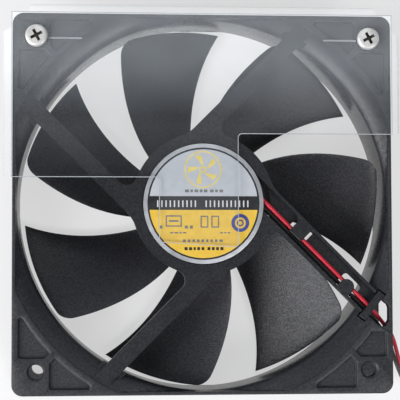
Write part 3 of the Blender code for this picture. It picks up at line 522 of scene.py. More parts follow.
def make_lead():
    """The wires held in the channel, and the paths of their free stretches, in millimetres."""
    in_channel = 22.85
    heights = [(4, 20.95), (7, 20.95), (10, 22.0)]
    heights += [(a, in_channel) for a in (13, 16, 27, 38, 50, 59.5)] + [(61.5, 22.7), (63.5, 21.8)]
    held = [(*on_strut(a, RED_OFFSET), z) for a, z in heights]
    held += [(*on_strut(65.3, 14.3), 20.75), (*on_strut(67.2, 14.2), 19.95),
             (*on_strut(69.0, 14.0), 19.75)]
    red_held = smooth(held)
    black_held = beside(red_held, (0, 0), (PITCH, PITCH))
    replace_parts(wire("held_wire_red", red_held, RED), "lead_red_held")
    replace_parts(wire("held_wire_black", black_held, BLACK), "lead_black_held")

    free = smooth([red_held[-1] + Vector((0.02, -0.02, 0)), (60.4, -41.2, 19.4), (61.7, -43.7, 18.3),
                   (63.0, -46.7, 16.0), (64.5, -49.9, 12.7), (66.1, -53.1, 8.7), (67.9, -56.2, 4.8),
                   (70.1, -59.1, 2.1), (72.7, -61.4, 0.95), (75.6, -62.9, 0.75), (78.2, -63.5, 0.75),
                   (81.0, -63.7, 0.72)])
    coil = coil_route()
    tail = smooth([coil[-1], (95.3, -52.0, 3.45), (95.3, -48.0, 3.1), (95.3, -44.5, 2.95),
                   (95.3, -40.9, 2.95)])
    above = [p + Vector((0, 0, STACKED)) for p in coil]
    black_free = beside(free, (0, 90), (PITCH, STACKED))
    black_tail = beside(tail, (90, 0), (STACKED, PLUG_PITCH))
    red_path = free + coil[3:] + tail[1:]
    black_path = black_free + above[3:] + black_tail[1:]
    return red_path, black_path


# ---- housing ----

def copy_of(node, name, look, bevel):
    """A CAD node's shape with its flat faces merged, its edges rounded, and a finished material."""
    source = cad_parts[node]
    bm = bmesh.new()
    bm.from_mesh(source.data)
    bm.transform(source.matrix_world)
    bmesh.ops.remove_doubles(bm, verts=bm.verts, dist=2e-6)
    bmesh.ops.dissolve_limit(bm, angle_limit=radians(0.6), verts=bm.verts, edges=bm.edges,
                             use_dissolve_boundaries=False)
    bmesh.ops.recalc_face_normals(bm, faces=bm.faces)
    obj = mesh_object(name, bm, look)
    shade(obj, 35)
    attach(obj, "housing")
    soften(obj, bevel)
    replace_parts(obj, node)
    return obj


def neighbours(outline):
    """Each corner of a closed outline with the one before it and the one after it, as vectors."""
    corners = [Vector(corner) for corner in outline]
    return zip(corners[-1:] + corners[:-1], corners, corners[1:] + corners[:1])


def rounded(corners, radius, steps=5):
    """A convex outline, counter-clockwise, with each corner rounded."""
    points = []
    for before, here, after in neighbours(corners):
        back = (before - here).normalized()
        on = (after - here).normalized()
        half = back.angle(on) / 2
        centre = here + (back + on).normalized() * (radius / sin(half))
        spoke = here + back * (radius / tan(half)) - centre
        first = degrees(atan2(spoke.y, spoke.x))
        points += arc(centre, radius, first, first + 180 - 2 * degrees(half), steps)
    return points


def grown(outline, by):
    """An outline moved outwards; the outline runs counter-clockwise."""
    points = []
    for before, here, after in neighbours(outline):
        a = (here - before).normalized()
        b = (after - here).normalized()
        normal = Vector((a.y, -a.x)) + Vector((b.y, -b.x))
        normal = normal.normalized() / max(0.5, normal.length / 2)
        points.append(tuple(here + normal * by))
    return points


def counter_clockwise(outline):
    area = sum(a[0] * b[1] - b[0] * a[1] for a, b in zip(outline, outline[1:] + outline[:1]))
    return outline if area > 0 else outline[::-1]


def sunk(outline, floor, face, lip=0.18, draft=0.10):
    """A cutter for a recess: drafted walls, a rounded lip at the face and a soft foot."""
    foot = 0.14
    outline = counter_clockwise(outline)
    levels = [(grown(outline, -draft - foot), floor), (grown(outline, -draft), floor + foot),
              (outline, face - lip), (grown(outline, lip * 0.3), face - lip * 0.4),
              (grown(outline, lip), face + 0.001), (grown(outline, lip), face + 1.0)]
    bm = bmesh.new()
    rings = [level(bm, ring, z) for ring, z in levels]
    bm.faces.new(rings[0][::-1])
    bm.faces.new(rings[-1])
    for a, b in zip(rings, rings[1:]):
        stitch(bm, a, b)
    return bm


def bored(obj, *solids, operation="DIFFERENCE"):
    """Cuts solids in millimetres out of an object, or adds them to it, for good."""
    for bm in solids:
        tool = mesh_object("cutter", to_metres(bm))
        mod = obj.modifiers.new("cut", "BOOLEAN")
        mod.operation = operation
        mod.solver = "EXACT"
        mod.object = tool
        done = bpy.data.meshes.new_from_object(obj.evaluated_get(bpy.context.evaluated_depsgraph_get()))
        obj.modifiers.clear()
        old = obj.data
        name = old.name
        obj.data = done
        bpy.data.meshes.remove(old)
        done.name = name
        spent = tool.data
        bpy.data.objects.remove(tool)
        bpy.data.meshes.remove(spent)


def square_reach(angle, half, corner):
    """How far a rounded square's edge is from the axis at an angle."""
    c, s = abs(cos(angle)), abs(sin(angle))
    flat = half / max(c, s)
    core = half - corner
    if flat * min(c, s) <= core:
        return flat
    dot = core * (c + s)
    return dot + sqrt(max(0.0, dot * dot - 2 * core * core + corner * corner))


def shell_section(angle):
    """The housing wall's closed outline in radius and height at one angle."""
    outer = square_reach(angle, HALF_WIDTH, CORNER_RADIUS)
    reach = FLARE_HALF / max(abs(cos(angle)), abs(sin(angle)))
    shell = min(DUCT_OUTSIDE, outer)
    flange = outer - shell
    # The duct's mouth flares out along part of an ellipse.
    middle, base, across, up = 70.3, 20.6, 11.6, 4.7
    top = []
    for i in range(11):
        a = radians(61.7 * i / 10)
        top.append((min(middle - across * cos(a), reach), base + up * sin(a)))
    mouth = min(FLARE_MOUTH, reach)
    top[-1] = (mouth - 0.02, 24.72)
    top += [(mouth + 0.08, 24.92), (mouth + 0.30, DEPTH), (outer - 0.30, DEPTH), (outer - 0.09, 24.91),
            (outer, 24.70), (outer, 21.25), (outer - min(0.07, flange), 21.07),
            (outer - min(0.25, flange), 21.0), (shell + min(0.6, flange) * 0.5, 21.0), (shell, 20.7)]
    return top + [(r, DEPTH - z) for r, z in reversed(top)]


def ring_angles():
    """Degrees round the housing, closer together at its rounded corners."""
    angles = []
    for quarter in (0.0, 90.0, 180.0, 270.0):
        for start, span, steps in ((0.0, 43.0, 48), (43.0, 4.0, 14), (47.0, 43.0, 48)):
            angles += [quarter + start + span * i / steps for i in range(steps)]
    return angles


def corner_cutters():
    """The four through-holes with flared ends, and the two sunk pockets beside each."""
    hole = [(0, -1), (3.15, -1), (2.9, 0.0), (2.25, 0.65), (2.25, 24.35), (2.35, 24.47), (2.9, DEPTH),
            (3.2, 26), (0, 26)]
    for sx in (-1, 1):
        for sy in (-1, 1):
            yield moved(turned(hole, 48), shift=(sx * HOLE, sy * HOLE, 0))
    for quarter in range(4):
        for mirrored in (False, True):
            # The pocket beside the wires' outlet is cut short.
            if quarter == 3 and mirrored:
                start, end = 37.4, [(53.3, 40.6), (58.0, 40.6)]
            else:
                start, end = 33.0, [(57.0, 35.6), (58.0, 35.9)]
            outline = [(58.0, 48.3), (49.9, 48.3)] + arc((0, 0), 67.0, 44.0, start, 12) + end
            outline = soft_corners(counter_clockwise(outline), 0.9)
            if mirrored:
                outline = [(y, x) for x, y in outline]
            yield moved(sunk(outline, 23.8, DEPTH, 0.36), 90 * quarter)


OUTLET = [on_strut(61.5, 11.9), on_strut(66.4, 11.9), on_strut(68.3, 13.1), (58.95, -36.9), (58.95, -33.0),
          (58.6, -32.0), on_strut(61.5, 18.55)]


def build_housing_ring():
    bm = bmesh.new()
    loops = []
    for angle in ring_angles():
        a = radians(angle)
        loops.append([bm.verts.new((r * cos(a), r * sin(a), z)) for r, z in shell_section(a)])
    for a, b in zip(loops, loops[1:] + loops[:1]):
        stitch(bm, a, b)
    bmesh.ops.remove_doubles(bm, verts=bm.verts, dist=1e-4)
    ring = piece("housing_shell", bm, FRAME_BLACK)
    outlet = soft_corners(counter_clockwise(OUTLET), 0.6)
    bored(ring, *corner_cutters(), sunk(outlet, 20.0, DEPTH, draft=0.0),
          slab(laid(rectangle(50.0, 63.0, *CHANNEL)), 21.8, 26), *bar_slots())
    # The duct wall and flare faces get the darker copies of the frame's plastic: painted shade, as well as
    # their smoother finish.
    ring.data.materials.append(FLARE_PAINTED_SHADE)
    ring.data.materials.append(WALL_PAINTED_SHADE)
    flare, wall = 1, 2
    for face in ring.data.polygons:
        x, y, z = face.center
        radius = hypot(x, y) / MM
        off_middle = abs(z / MM - DEPTH / 2)
        if radius < 58.95 and abs(face.normal.z) < 0.3:
            face.material_index = wall
        elif radius < FLARE_MOUTH - 0.02 and off_middle < 12.25 and max(abs(x), abs(y)) < FLARE_HALF * MM:
            face.material_index = flare
    shade(ring)
    return ring


def bar_slots():
    """The gap along the inner side and round the end of each half of the cross-bar."""
    side, half = BAR_HALF
    start, gap, lap = 3.1, 0.45, 0.05
    for way in (-1, 1):
        outline = [(-side - gap, start), (-side + lap, start), (-side + lap, half - lap),
                   (side + 0.1, half - lap), (side + 0.1, half + gap), (-side - gap, half + gap)]
        yield slab(counter_clockwise([on_bar(w, t * way) for w, t in outline]), 22.0, 26)


def soft_corners(outline, radius, steps=4):
    """Rounds the sharp corners of a counter-clockwise outline and leaves its curves alone."""
    points = []
    for before, here, after in neighbours(outline):
        back, on = before - here, after - here
        turn = pi - back.angle(on)
        if turn < radians(20):
            points.append(tuple(here))
            continue
        cut = min(radius * tan(turn / 2), back.length * 0.45, on.length * 0.45)
        a, b = here + back.normalized() * cut, here + on.normalized() * cut
        for i in range(steps + 1):
            t = i / steps
            points.append(tuple((1 - t) ** 2 * a + 2 * t * (1 - t) * here + t * t * b))
    return points


def strut_outline(inner, outer, end, strut):
    """A strut from the hub plate outwards, with a fillet at the plate on each side."""
    small, large = 3.3, 10.0
    inner_centre = (sqrt((PLATE_RADIUS + small) ** 2 - (inner - small) ** 2), inner - small)
    outer_centre = (sqrt((PLATE_RADIUS + large) ** 2 - (outer + large) ** 2), outer + large)
    inner_angle = degrees(atan2(inner_centre[1], inner_centre[0]))
    outer_angle = degrees(atan2(outer_centre[1], outer_centre[0]))
    points = arc((0, 0), PLATE_RADIUS - 0.8, outer_angle, inner_angle, 8)
    points += arc(inner_centre, small, inner_angle + 180, 90, 12)
    points += [(end, inner), (end, outer)]
    points += arc(outer_centre, large, 270, outer_angle + 180, 10)
    return laid(points, strut)


def build_spider():
    rim = PLATE_RADIUS
    plate = turned([(4.3, 23.9), (19.3, 23.9), (19.3, SPIDER_TOP), (rim, SPIDER_TOP), (rim, 21.2),
                    (21.5, 21.2), (21.5, 22.2), (6.2, 22.2), (6.2, 15.3), (4.3, 15.3)], 128)
    spider = piece("housing_spider", plate, SPIDER_BLACK)
    parts = []
    for strut in range(1, 4):
        parts.append(slab(strut_outline(STRUT_IN, STRUT_OUT, 65.0, strut), 21.4, SPIDER_TOP))
        foot = [(57.0, STRUT_IN - 1.4), (63.0, STRUT_IN - 1.4), (63.0, STRUT_OUT + 1.4),
                (54.9, STRUT_OUT + 1.4)]
        parts.append(slab(laid(foot, strut), 21.4, 23.4))
    parts.append(slab(strut_outline(10.9, 19.3, 62.0, 0), 21.0, SPIDER_TOP))
    bored(spider, *parts, operation="UNION")
    bored(spider, slab(laid(rectangle(3.0, 63.0, *CHANNEL)), 21.9, 26),
          slab(laid(rectangle(24.3, 31.5, 15.0, 18.1)), 20, 23),
          slab(laid(rounded(rectangle(47.5, 54.7, 11.85, 17.0), 1.2)), 20, 23),
          slab(counter_clockwise(OUTLET), 19.9, 26.1), *bar_slots())
    shade(spider)
    soften(spider, 0.22, 40)
    clips = bmesh.new()
    hook = rounded(rectangle(25.2, 30.3, 13.2, 19.1), 0.4)
    thumb = [(53.05, 11.1)] + arc((50.65, 13.5), 2.4, 0, 180, 20) + [(48.25, 11.1)]
    side, half = BAR_HALF
    cross_bar = rounded(rectangle(-side, side, -half, half), 0.25)
    for outline in (laid(hook), laid(thumb), [on_bar(w, t) for w, t in cross_bar]):
        slab(counter_clockwise(outline), 23.9, 24.72, clips)
    keepers = piece("housing_wire_clips", clips, SPIDER_BLACK)
    soften(keepers, 0.2, 50)


def build_frame():
    ring = build_housing_ring()
    build_spider()
    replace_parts(ring, "fan_frame")


# ---- impeller ----

def blade_angles(radius):
    """Degrees at a blade's leading and trailing edges; the trailing corner of its tip is round."""
    reach = max(0.0, radius - HUB_RADIUS)
    leading = -57.1 - 0.269 * reach - 0.00295 * reach ** 2
    trailing = -14.0 - 0.717 * reach + 0.00217 * reach ** 2
    corner = BLADE_TIP - BLADE_CORNER
    beyond = max(0.0, radius - corner)
    setback = BLADE_CORNER - sqrt(max(0.0, BLADE_CORNER ** 2 - beyond ** 2))
    return leading, trailing - degrees(setback / radius)


def blade_point(radius, s, side, thick):
    """A point of the blade's upper (side 1) or lower (side -1) skin."""
    leading, trailing = blade_angles(radius)
    chord = radians(trailing - leading) * radius
    rise = BLADE_HIGH - BLADE_LOW
    angle = radians(leading + (trailing - leading) * s)
    height = BLADE_LOW + rise * (0.68 * s + 0.32 * s * s)
    slope = rise * (0.68 + 0.64 * s)
    edge = max(0.0, 1 - (2 * s - 1) ** 8) ** 0.5
    half = thick / 2 * edge * (0.50 + 0.50 * sin(pi * min(1.0, max(0.0, s))) ** 0.8)
    run = hypot(chord, slope)
    turn = angle - side * half * slope / run / radius
    return Vector((radius * cos(turn), radius * sin(turn), height + side * half * chord / run))


def blade_loops(bm, spin):
    """A blade's sections from root to tip, each once round its upper and lower skins."""
    stations, steps = BLADE_GRID
    spread = [0.5 - 0.5 * cos(pi * j / steps) for j in range(steps + 1)]
    loops = []
    for i in range(stations + 1):
        radius = BLADE_ROOT + (BLADE_TIP - BLADE_ROOT) * sin(pi / 2 * (i / stations))
        thick = BLADE_THICKNESS * (1.0 if i < stations else 0.45)
        ring = [blade_point(radius, s, 1, thick) for s in spread]
        ring += [blade_point(radius, s, -1, thick) for s in spread[-2:0:-1]]
        loops.append([bm.verts.new(spin @ p) for p in ring])
    return loops


def build_impeller():
    bm = bmesh.new()
    for number in range(BLADES):
        loops = blade_loops(bm, Matrix.Rotation(2 * pi * number / BLADES, 4, "Z"))
        count = len(loops[0])
        for a, b in zip(loops, loops[1:]):
            stitch(bm, a, b)
        for loop in (loops[0], loops[-1]):
            for k in range(BLADE_GRID[1]):
                low = [loop[(count - k) % count], loop[(count - k - 1) % count]]
                corners = list(dict.fromkeys([loop[k], loop[k + 1], low[1], low[0]]))
                if len(corners) > 2:
                    bm.faces.new(corners)
    blades = piece("rotor_blades", bm, ROTOR_BLACK, "rotor", sharp=50)

    face, skirt, bend = 0.5, 20.2, 2.8
    profile = [(0, 1.0), (2.3, 1.0), (2.5, 0.8), (2.5, 0.62), (2.7, face), (13.2, face), (13.35, 0.62),
               (13.35, 0.75), (14.05, 0.75), (14.05, 0.62), (14.2, face)]
    profile += arc((HUB_RADIUS - bend, face + bend), bend, 270, 360, 10)
    profile += [(HUB_RADIUS, 19.9), (20.5, 20.1), (20.3, skirt), (19.5, skirt), (19.3, 20.0), (19.3, 2.3),
                (0, 2.3)]
    piece("rotor_hub", turned(profile, 160), ROTOR_BLACK, "rotor", sharp=40)
    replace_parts(blades, "impeller")


# ---- label ----

def disc_part(radius, low_y, high_y):
    """The part of a disc between two heights in y."""
    same = 1e-5
    tidy = []
    for x, y in arc((0, 0), radius, -90, 270, 180):
        point = (x, min(high_y, max(low_y, y)))
        if not tidy or dist(point, tidy[-1]) > same:
            tidy.append(point)
    if dist(tidy[0], tidy[-1]) < same:
        tidy.pop()
    return tidy


def bar(x0, x1, y0, y1):
    """A rectangle with slightly rounded corners."""
    soft = min(0.12, (y1 - y0) / 2 - 0.001, (x1 - x0) / 2 - 0.001)
    points = []
    for x, y, start in ((x1 - soft, y1 - soft, 0), (x0 + soft, y1 - soft, 90), (x0 + soft, y0 + soft, 180),
                        (x1 - soft, y0 + soft, 270)):
        points += arc((x, y), soft, start, start + 90, 3)
    return points


def ring_shape(bm, centre, outer, inner, low, high):
    """A flat ring, added to bm."""
    loops = []
    for radius, z in ((outer, low), (outer, high), (inner, high), (inner, low)):
        loops.append(level(bm, arc(centre, radius, 0, 360, 48)[:-1], z))
    for a, b in zip(loops, loops[1:] + loops[:1]):
        stitch(bm, a, b)


def dashes(y, height, gap, *words):
    """Bars as stand-ins for words, which are each given as a start and the widths that follow it."""
    shapes = []
    for x, *widths in words:
        for width in widths:
            shapes.append(bar(x, x + width, y - height / 2, y + height / 2))
            x += width + gap
    return shapes


def ticks(start, count):
    """Short upright bars in a row across the label's band."""
    pitch, width, y0, y1 = 1.32, 0.42, -1.1, 1.0
    return [bar(start + pitch * i, start + pitch * i + width, y0, y1) for i in range(count)]


def outlined(x0, x1, y0, y1):
    """The four sides of a box."""
    line = 0.42
    low, high = y0 + line, y1 - line
    return [bar(x0, x1, y0, low), bar(x0, x1, high, y1), bar(x0, x0 + line, low, high),
            bar(x1 - line, x1, low, high)]


def emblem(middle):
    """A generic fan with five blades."""
    fan = []
    for k in range(5):
        hub = arc(middle, 1.5, 72 * k + 4, 72 * k + 24, 4)
        tip = arc(middle, 4.7, 72 * k + 50, 72 * k + 26, 6)
        fan.append(hub + tip)
    return fan


def build_label():
    low, top, radius = 24.2, 24.44, LABEL_RADIUS
    foil = printed("label_border_foil", (0.42, 0.43, 0.46), (0.52, 0.53, 0.56), 0.34, 0.6)
    silver = printed("label_silver_ink", (0.405, 0.425, 0.465), (0.450, 0.470, 0.510), 0.46, 0.08)
    gold = printed("label_gold_ink", (0.62, 0.395, 0.040), (0.70, 0.465, 0.062), 0.42)
    ink = printed("label_black_ink", (0.012, 0.012, 0.013), (0.022, 0.022, 0.024), 0.35)
    pale = printed("label_pale_ink", (0.50, 0.50, 0.52), (0.62, 0.62, 0.64), 0.4)
    yellow = printed("label_yellow_ink", (0.60, 0.48, 0.12), (0.68, 0.56, 0.18), 0.4)
    grey = printed("label_grey_ink", (0.12, 0.12, 0.12), (0.17, 0.17, 0.17), 0.4)
    blue = printed("label_blue_ink", (0.03, 0.04, 0.20), (0.05, 0.07, 0.27), 0.4)

    rim = [(0, low), (radius - 0.15, low), (radius, low + 0.06), (radius, top - 0.04), (radius - 0.1, top),
           (0, top)]
    base = piece("label_foil", turned(rim, 160), foil)
    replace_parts(base, "hub_label")

    def print_on(name, look, height, shapes=(), rings=()):
        bm = bmesh.new()
        for shape in shapes:
            slab(shape, top - 0.02, top + height, bm)
        for centre, outer, inner in rings:
            ring_shape(bm, centre, outer, inner, top - 0.02, top + height)
        piece(name, bm, look, sharp=20)

    print_on("label_line", ink, 0.008, rings=[((0, 0), 17.75, 17.2)])
    print_on("label_upper", silver, 0.006, [disc_part(17.3, 2.3, 18)])
    print_on("label_band", ink, 0.010, [disc_part(17.4, -2.0, 2.35)])
    print_on("label_lower", gold, 0.006, [disc_part(17.3, -18, -1.95)])
    print_on("label_band_marks", pale, 0.016, ticks(-14.7, 10) + ticks(0.6, 11))
    mark = 0.012
    print_on("label_title_marks", grey, mark,
             dashes(4.0, 0.9, 0.45, (-5.9, 1.3, 0.8, 1.2, 0.9, 1.1), (2.0, 1.2, 0.9, 1.2)))
    middle = (-0.2, 10.8)
    print_on("label_emblem", yellow, mark, emblem(middle), [(middle, 5.9, 5.45), (middle, 1.15, 0.6)])
    boxes = outlined(-12.0, -6.9, -7.3, -3.7) + [bar(-11.0, -7.9, -5.8, -5.2)]
    boxes += [bar(x, x + 1.0, -7.9, -6.9) for x in (-14.0, -6.0, -4.4)]
    boxes += outlined(-1.0, 1.5, -7.6, -3.8) + outlined(2.4, 4.9, -7.6, -3.8)
    print_on("label_box_marks", grey, mark, boxes)
    seal = (11.6, -6.1)
    print_on("label_seal", blue, mark, rings=[(seal, 2.85, 1.75)])
    print_on("label_seal_centre", blue, mark, rings=[(seal, 1.1, 0.65)])
    print_on("label_small_marks", grey, mark,
             dashes(-9.2, 0.45, 0.35, (-10.6, 1.0, 1.2, 0.8, 1.1), (5.2, 0.9, 0.7, 0.9)))
    print_on("label_rating_marks", grey, mark, dashes(-11.7, 0.8, 0.62, (-6.6, 1.0, *[0.8] * 7, 1.1)))
    print_on("label_supply_marks", ink, mark,
             dashes(-14.2, 0.95, 0.45, (-6.1, 1.0, 1.0, 0.7, 0.9, 0.9), (1.2, 0.9, 0.9, 0.9, 1.0)))


# ---- baffle and screws ----

def baffle_outline():
    """The sheet, with a tongue towards the label and its right part cut higher."""
    soft = 1.2
    points = [(-60.3, 8.2), (-15.3, 8.2)]
    points += arc((-15.3, 7.0), soft, 90, 0, 6)[1:]
    points += arc((-12.9, -11.1), soft, 180, 270, 6)
    points += arc((9.8, -12.6), soft, 270, 360, 6)
    points += arc((12.2, 20.8), soft, 180, 90, 6)
    return points + [(60.3, 22.0), (60.3, 60.3), (-60.3, 60.3)]


def folded_lip(bm, start, end, outward):
    """A strip that turns down 45 degrees round a small radius along one edge."""
    out = Vector((*outward, 0))
    a, b = Vector((*start, 0)), Vector((*end, 0))
    taper = (b - a).normalized() * 0.5
    top = FILM_BOTTOM + FILM
    reach = 2.65
    end_top = top - 2.43
    section = [(-0.1, top), (0.05, top), (0.25, top - 0.06), (0.42, top - 0.2), (reach, end_top),
               (reach, end_top - FILM * 1.3), (0.30, top - 0.49), (0.12, top - 0.39), (0.0, FILM_BOTTOM),
               (-0.1, FILM_BOTTOM)]
    rings = []
    for base, shift in ((a, taper), (b, -taper)):
        rings.append([bm.verts.new(base + out * d + shift * max(0.0, d / reach) + Vector((0, 0, z)))
                      for d, z in section])
    bm.faces.new(rings[0])
    bm.faces.new(rings[1][::-1])
    stitch(bm, *rings)


def build_baffle():
    sheet = piece("baffle_sheet", slab(baffle_outline(), FILM_BOTTOM, FILM_BOTTOM + FILM), FILM_CLEAR,
                  sharp=None)
    cutters = []
    for side in (-1, 1):
        cutters.append(moved(turned([(0, 24), (2.3, 24), (2.3, 27), (0, 27)], 40),
                             shift=(side * HOLE, HOLE, 0)))
        left, right = sorted((side * 38.5, side * 48.5))
        cutters.append(slab(rectangle(left, right, 51.91, 51.98), 24, 27))
    bored(sheet, *cutters)
    sheet.data.materials.append(FILM_EDGE_HIGHLIGHT)
    bm = bmesh.new()
    bm.from_mesh(sheet.data)
    # A thin rim of the top face along every edge and slit gets the light grey edge material: a painted
    # highlight.
    upper = [face for face in bm.faces if face.normal.z > 0.5]
    rim = bmesh.ops.inset_region(bm, faces=upper, thickness=0.22 * MM, use_even_offset=True)["faces"]
    for face in bm.faces:
        face.material_index = int(abs(face.normal.z) < 0.5)
    for face in rim:
        face.material_index = 1
    bm.to_mesh(sheet.data)
    bm.free()
    bm = bmesh.new()
    folded_lip(bm, (-60.3, 8.3), (-60.3, 55.0), (-1, 0))
    folded_lip(bm, (60.3, 22.1), (60.3, 54.5), (1, 0))
    folded_lip(bm, (-55.0, 60.3), (55.5, 60.3), (0, 1))
    piece("baffle_lips", bm, FILM_CLEAR, sharp=60)
    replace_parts(sheet, "air_baffle")


def screw_head(name, side, seat):
    """A pan head with a cross recess."""
    top, head = seat + 2.1, 3.5
    shift = (side * HOLE, HOLE, 0)
    profile = [(0, seat - 0.02), (head - 0.12, seat - 0.02), (head, seat + 0.10), (head, seat + 0.95)]
    for x, y in arc((0, 0), 1.0, 0, 80, 8)[1:]:
        profile.append((head - 1.0 + x, seat + 0.95 + 0.95 * y))
    profile += [(1.6, top - 0.05), (0, top)]
    shape = moved(turned(profile, 64), shift=shift)
    head_part = piece(name, shape, SCREW_ZINC, sharp=40)
    cutters = []
    for turn in (0, 90):
        arms = slab(rectangle(-2.5, 2.5, -0.5, 0.5), top - 1.5, top + 1)
        for vert in arms.verts:
            if vert.co.z < top:
                vert.co.x *= 0.5
                vert.co.y *= 0.8
        cutters.append(moved(arms, 28 + turn, shift))
    centre = turned([(0, top - 1.35), (0.55, top - 1.35), (1.0, top + 1), (0, top + 1)], 10)
    cutters.append(moved(centre, 0, shift))
    bored(head_part, *cutters)
    head_part.data.materials.append(RECESS_PAINTED_SHADE)
    # The walls and floor of the cross recess get the dark metal: painted shade.
    for face in head_part.data.polygons:
        x, y, z = face.center / MM
        inside = hypot(x - side * HOLE, y - HOLE) < 2.6
        if inside and z > seat and (abs(face.normal.z) < 0.8 or z < top - 0.6):
            face.material_index = 1
    shade(head_part, 38)
    return head_part


def screw_thread():
    """A coarse self-tapping thread, fading in at the tip and out at the head."""
    start, rounds, per_turn, pitch = 17.6, 5.6, 28, 1.45
    steps = int(rounds * per_turn)
    bm = bmesh.new()
    rows = []
    for i in range(steps + 1):
        a = 2 * pi * i / per_turn
        z = start + pitch * i / per_turn
        grow = min(1.0, 0.35 + i / (1.3 * per_turn)) * min(1.0, 0.2 + (steps - i) / (0.5 * per_turn))
        rows.append([bm.verts.new((r * cos(a), r * sin(a), z + dz)) for r, dz in (
            (1.2, -0.34), (1.35 + 0.52 * grow, 0.0), (1.2, 0.34), (0.9, 0.0))])
    for a, b in zip(rows, rows[1:]):
        stitch(bm, a, b)
    bm.faces.new(rows[0])
    bm.faces.new(rows[-1][::-1])
    return bm


def screw(name, side, node):
    seat = FILM_BOTTOM + FILM + 0.3
    shift = (side * HOLE, HOLE, 0)
    head = screw_head(name + "_head", side, seat)
    piece(name + "_thread", moved(screw_thread(), shift=shift), SCREW_ZINC)
    core = [(0, 17.0), (0.55, 17.15), (1.05, 18.2), (1.3, 19.2), (1.3, seat), (0, seat)]
    piece(name + "_shank", moved(turned(core, 32), shift=shift), SCREW_ZINC, sharp=40)
    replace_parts(head, node)


# ---- coil tie and connector ----

def build_tie():
    """A flat strap once round the coiled turns, with a small ratchet head outside."""
    shape = [(3.95, 0.75), (4.25, 0.28), (5.2, 0.2), (9.6, 0.2), (10.35, 0.3), (10.6, 0.8), (10.55, 2.4),
             (10.2, 3.3), (9.0, 4.5), (8.0, 5.75), (7.2, 6.1), (6.2, 6.0), (5.2, 5.0), (4.4, 3.8),
             (3.95, 2.6)]
    centre = Vector((7.2, 2.8))
    thickness = 0.28
    outer = [p.to_2d() for p in smooth([(*p, 0) for p in shape + [shape[0]]], 0.35)[:-1]]
    inner = [p + (centre - p).normalized() * thickness for p in outer]
    bm = bmesh.new()
    rows = [[bm.verts.new((p.x, y, p.y)) for p in ring] for ring in (outer, inner) for y in (-1.0, 1.0)]
    for a, b in ((0, 1), (1, 3), (3, 2), (2, 0)):
        stitch(bm, rows[a], rows[b])
    strap = piece("tie_strap", moved(bm, TIE_ANGLE, COIL), WHITE)
    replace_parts(strap, "coil_tie")
    return strap


def build_connector():
    shell = copy_of("connector_housing", "connector_shell", WHITE, 0.16)
    red = copy_of("crimp_terminal_red", "contact_red", TIN, 0.05)
    black = copy_of("crimp_terminal_black", "contact_black", TIN, 0.05)
    return shell, red, black


# ---- motor inside the hub ----

def dress_motor():
    """Finished materials on the motor's CAD pieces, which are shown as they are."""
    looks = {
        BRIGHT_STEEL: ("rotor_yoke", "shaft"), FERRITE: ("magnet_ring",),
        BRASS: ("shaft_boss", "bearing_tube"), STEEL: ("retaining_clip",), RUBBER: ("oil_slinger",),
        WHITE: ("thrust_washer_lower", "thrust_washer_upper"), BRONZE: ("sleeve_bearing",),
        LAMINATE: ("stator_core",), IVORY: ("insulator_upper", "insulator_lower"),
        COPPER: ("coil_winding_1", "coil_winding_2", "coil_winding_3", "coil_winding_4"),
        TIN: ("winding_pin_1", "winding_pin_2", "winding_pin_3"), BOARD: ("circuit_board",),
        EPOXY: ("driver_chip", "hall_sensor", "diode", "resistor"), CERAMIC: ("capacitor",),
    }
    for look, names in looks.items():
        for name in names:
            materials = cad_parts[name].data.materials
            materials.clear()
            materials.append(look)


# ---- floor and light ----

def build_floor():
    n = Surface("pale_floor")
    tone = n.ramp(n.noise(3.0, 3.0, 0.5), (0.27, 0.27, 0.275), (0.30, 0.30, 0.305))
    pale = n.finish(tone, 0.75, Emission_Color=(1.0, 1.0, 1.0, 1.0), Emission_Strength=0.56)
    half = 3000
    bm = slab(rectangle(-half, half, -half, half), -8.0, -0.02)
    mesh_object("floor", to_metres(bm), pale)


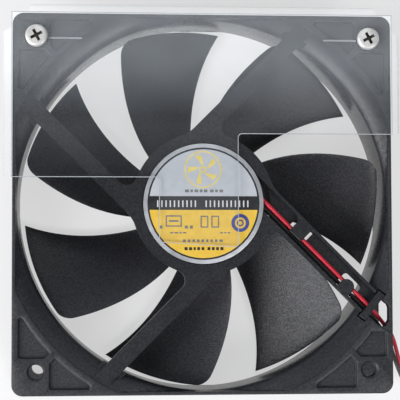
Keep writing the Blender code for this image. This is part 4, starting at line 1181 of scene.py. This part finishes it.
def build_sky():
    """A faint glow, brighter towards one side and dim overhead."""
    world = bpy.data.worlds.new("studio")
    world.use_nodes = True
    n = Nodes(world.node_tree)
    where = n.add("ShaderNodeTexCoord").outputs["Generated"]
    height = n.add("ShaderNodeSeparateXYZ", {0: where}).outputs["Z"]
    side = n.add("ShaderNodeVectorMath", {0: where, 1: (-0.5, 0.866, 0.0)},
                 operation="DOT_PRODUCT").outputs["Value"]
    bright = n.spread(side, 0.05, 1.5, -1.0, 1.0)
    high = n.spread(height, 0.0, 1.0, 0.0, 0.7)
    glow = n.add("ShaderNodeMix", {0: high, 2: bright, 3: 0.07}, data_type="FLOAT").outputs[0]
    background = n.tree.nodes["Background"]
    background.inputs["Color"].default_value = (0.90, 0.95, 1.0, 1.0)
    n.feed(background.inputs["Strength"], glow)
    bpy.context.scene.world = world
    bpy.context.scene.view_settings.view_transform = "Standard"


def softbox(name, place, target, size, power, tint=(1, 1, 1)):
    data = bpy.data.lights.new(name, "AREA")
    data.shape = "RECTANGLE"
    data.size, data.size_y = size
    data.energy = power
    data.color = tint
    lamp = linked(name, data)
    lamp.location = place
    aim = Vector(target) - Vector(place)
    lamp.rotation_mode = "QUATERNION"
    lamp.rotation_quaternion = aim.to_track_quat("-Z", "Y")


def build_stage():
    build_floor()
    build_sky()
    fan = (0.0, 0.0, 0.02)
    cool = (0.94, 0.97, 1.0)
    softbox("key", (-0.723, -0.452, 0.542), fan, (0.89, 0.89), 16.6, (0.985, 0.985, 1.0))
    softbox("fill_front", (0.134, -0.499, 0.757), fan, (0.22, 0.22), 0.48)
    softbox("fill_right", (0.46, -0.435, 0.656), fan, (0.36, 0.36), 2.8)
    softbox("fill_back", (0.056, 0.634, 0.656), fan, (0.34, 0.34), 1.1, cool)
    softbox("overhead", (0.05, 0.21, 0.625), (0.05, 0.21, 0.0), (0.42, 0.17), 0.34, cool)


def main():
    make_camera()
    red_path, black_path = make_lead()
    red = wire("lead_wire_red", red_path, RED)
    black = wire("lead_wire_black", black_path, BLACK)
    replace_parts(red, "lead_red", "lead_red_tail", "lead_coil")
    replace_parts(black, "lead_black", "lead_black_tail")
    tie = build_tie()
    shell, red_contact, black_contact = build_connector()
    length_of(red_path)
    length_of(black_path)
    build_frame()
    build_impeller()
    build_label()
    build_baffle()
    screw("screw_left", -1, "baffle_screw_left")
    screw("screw_right", 1, "baffle_screw_right")
    dress_motor()
    build_stage()


main()
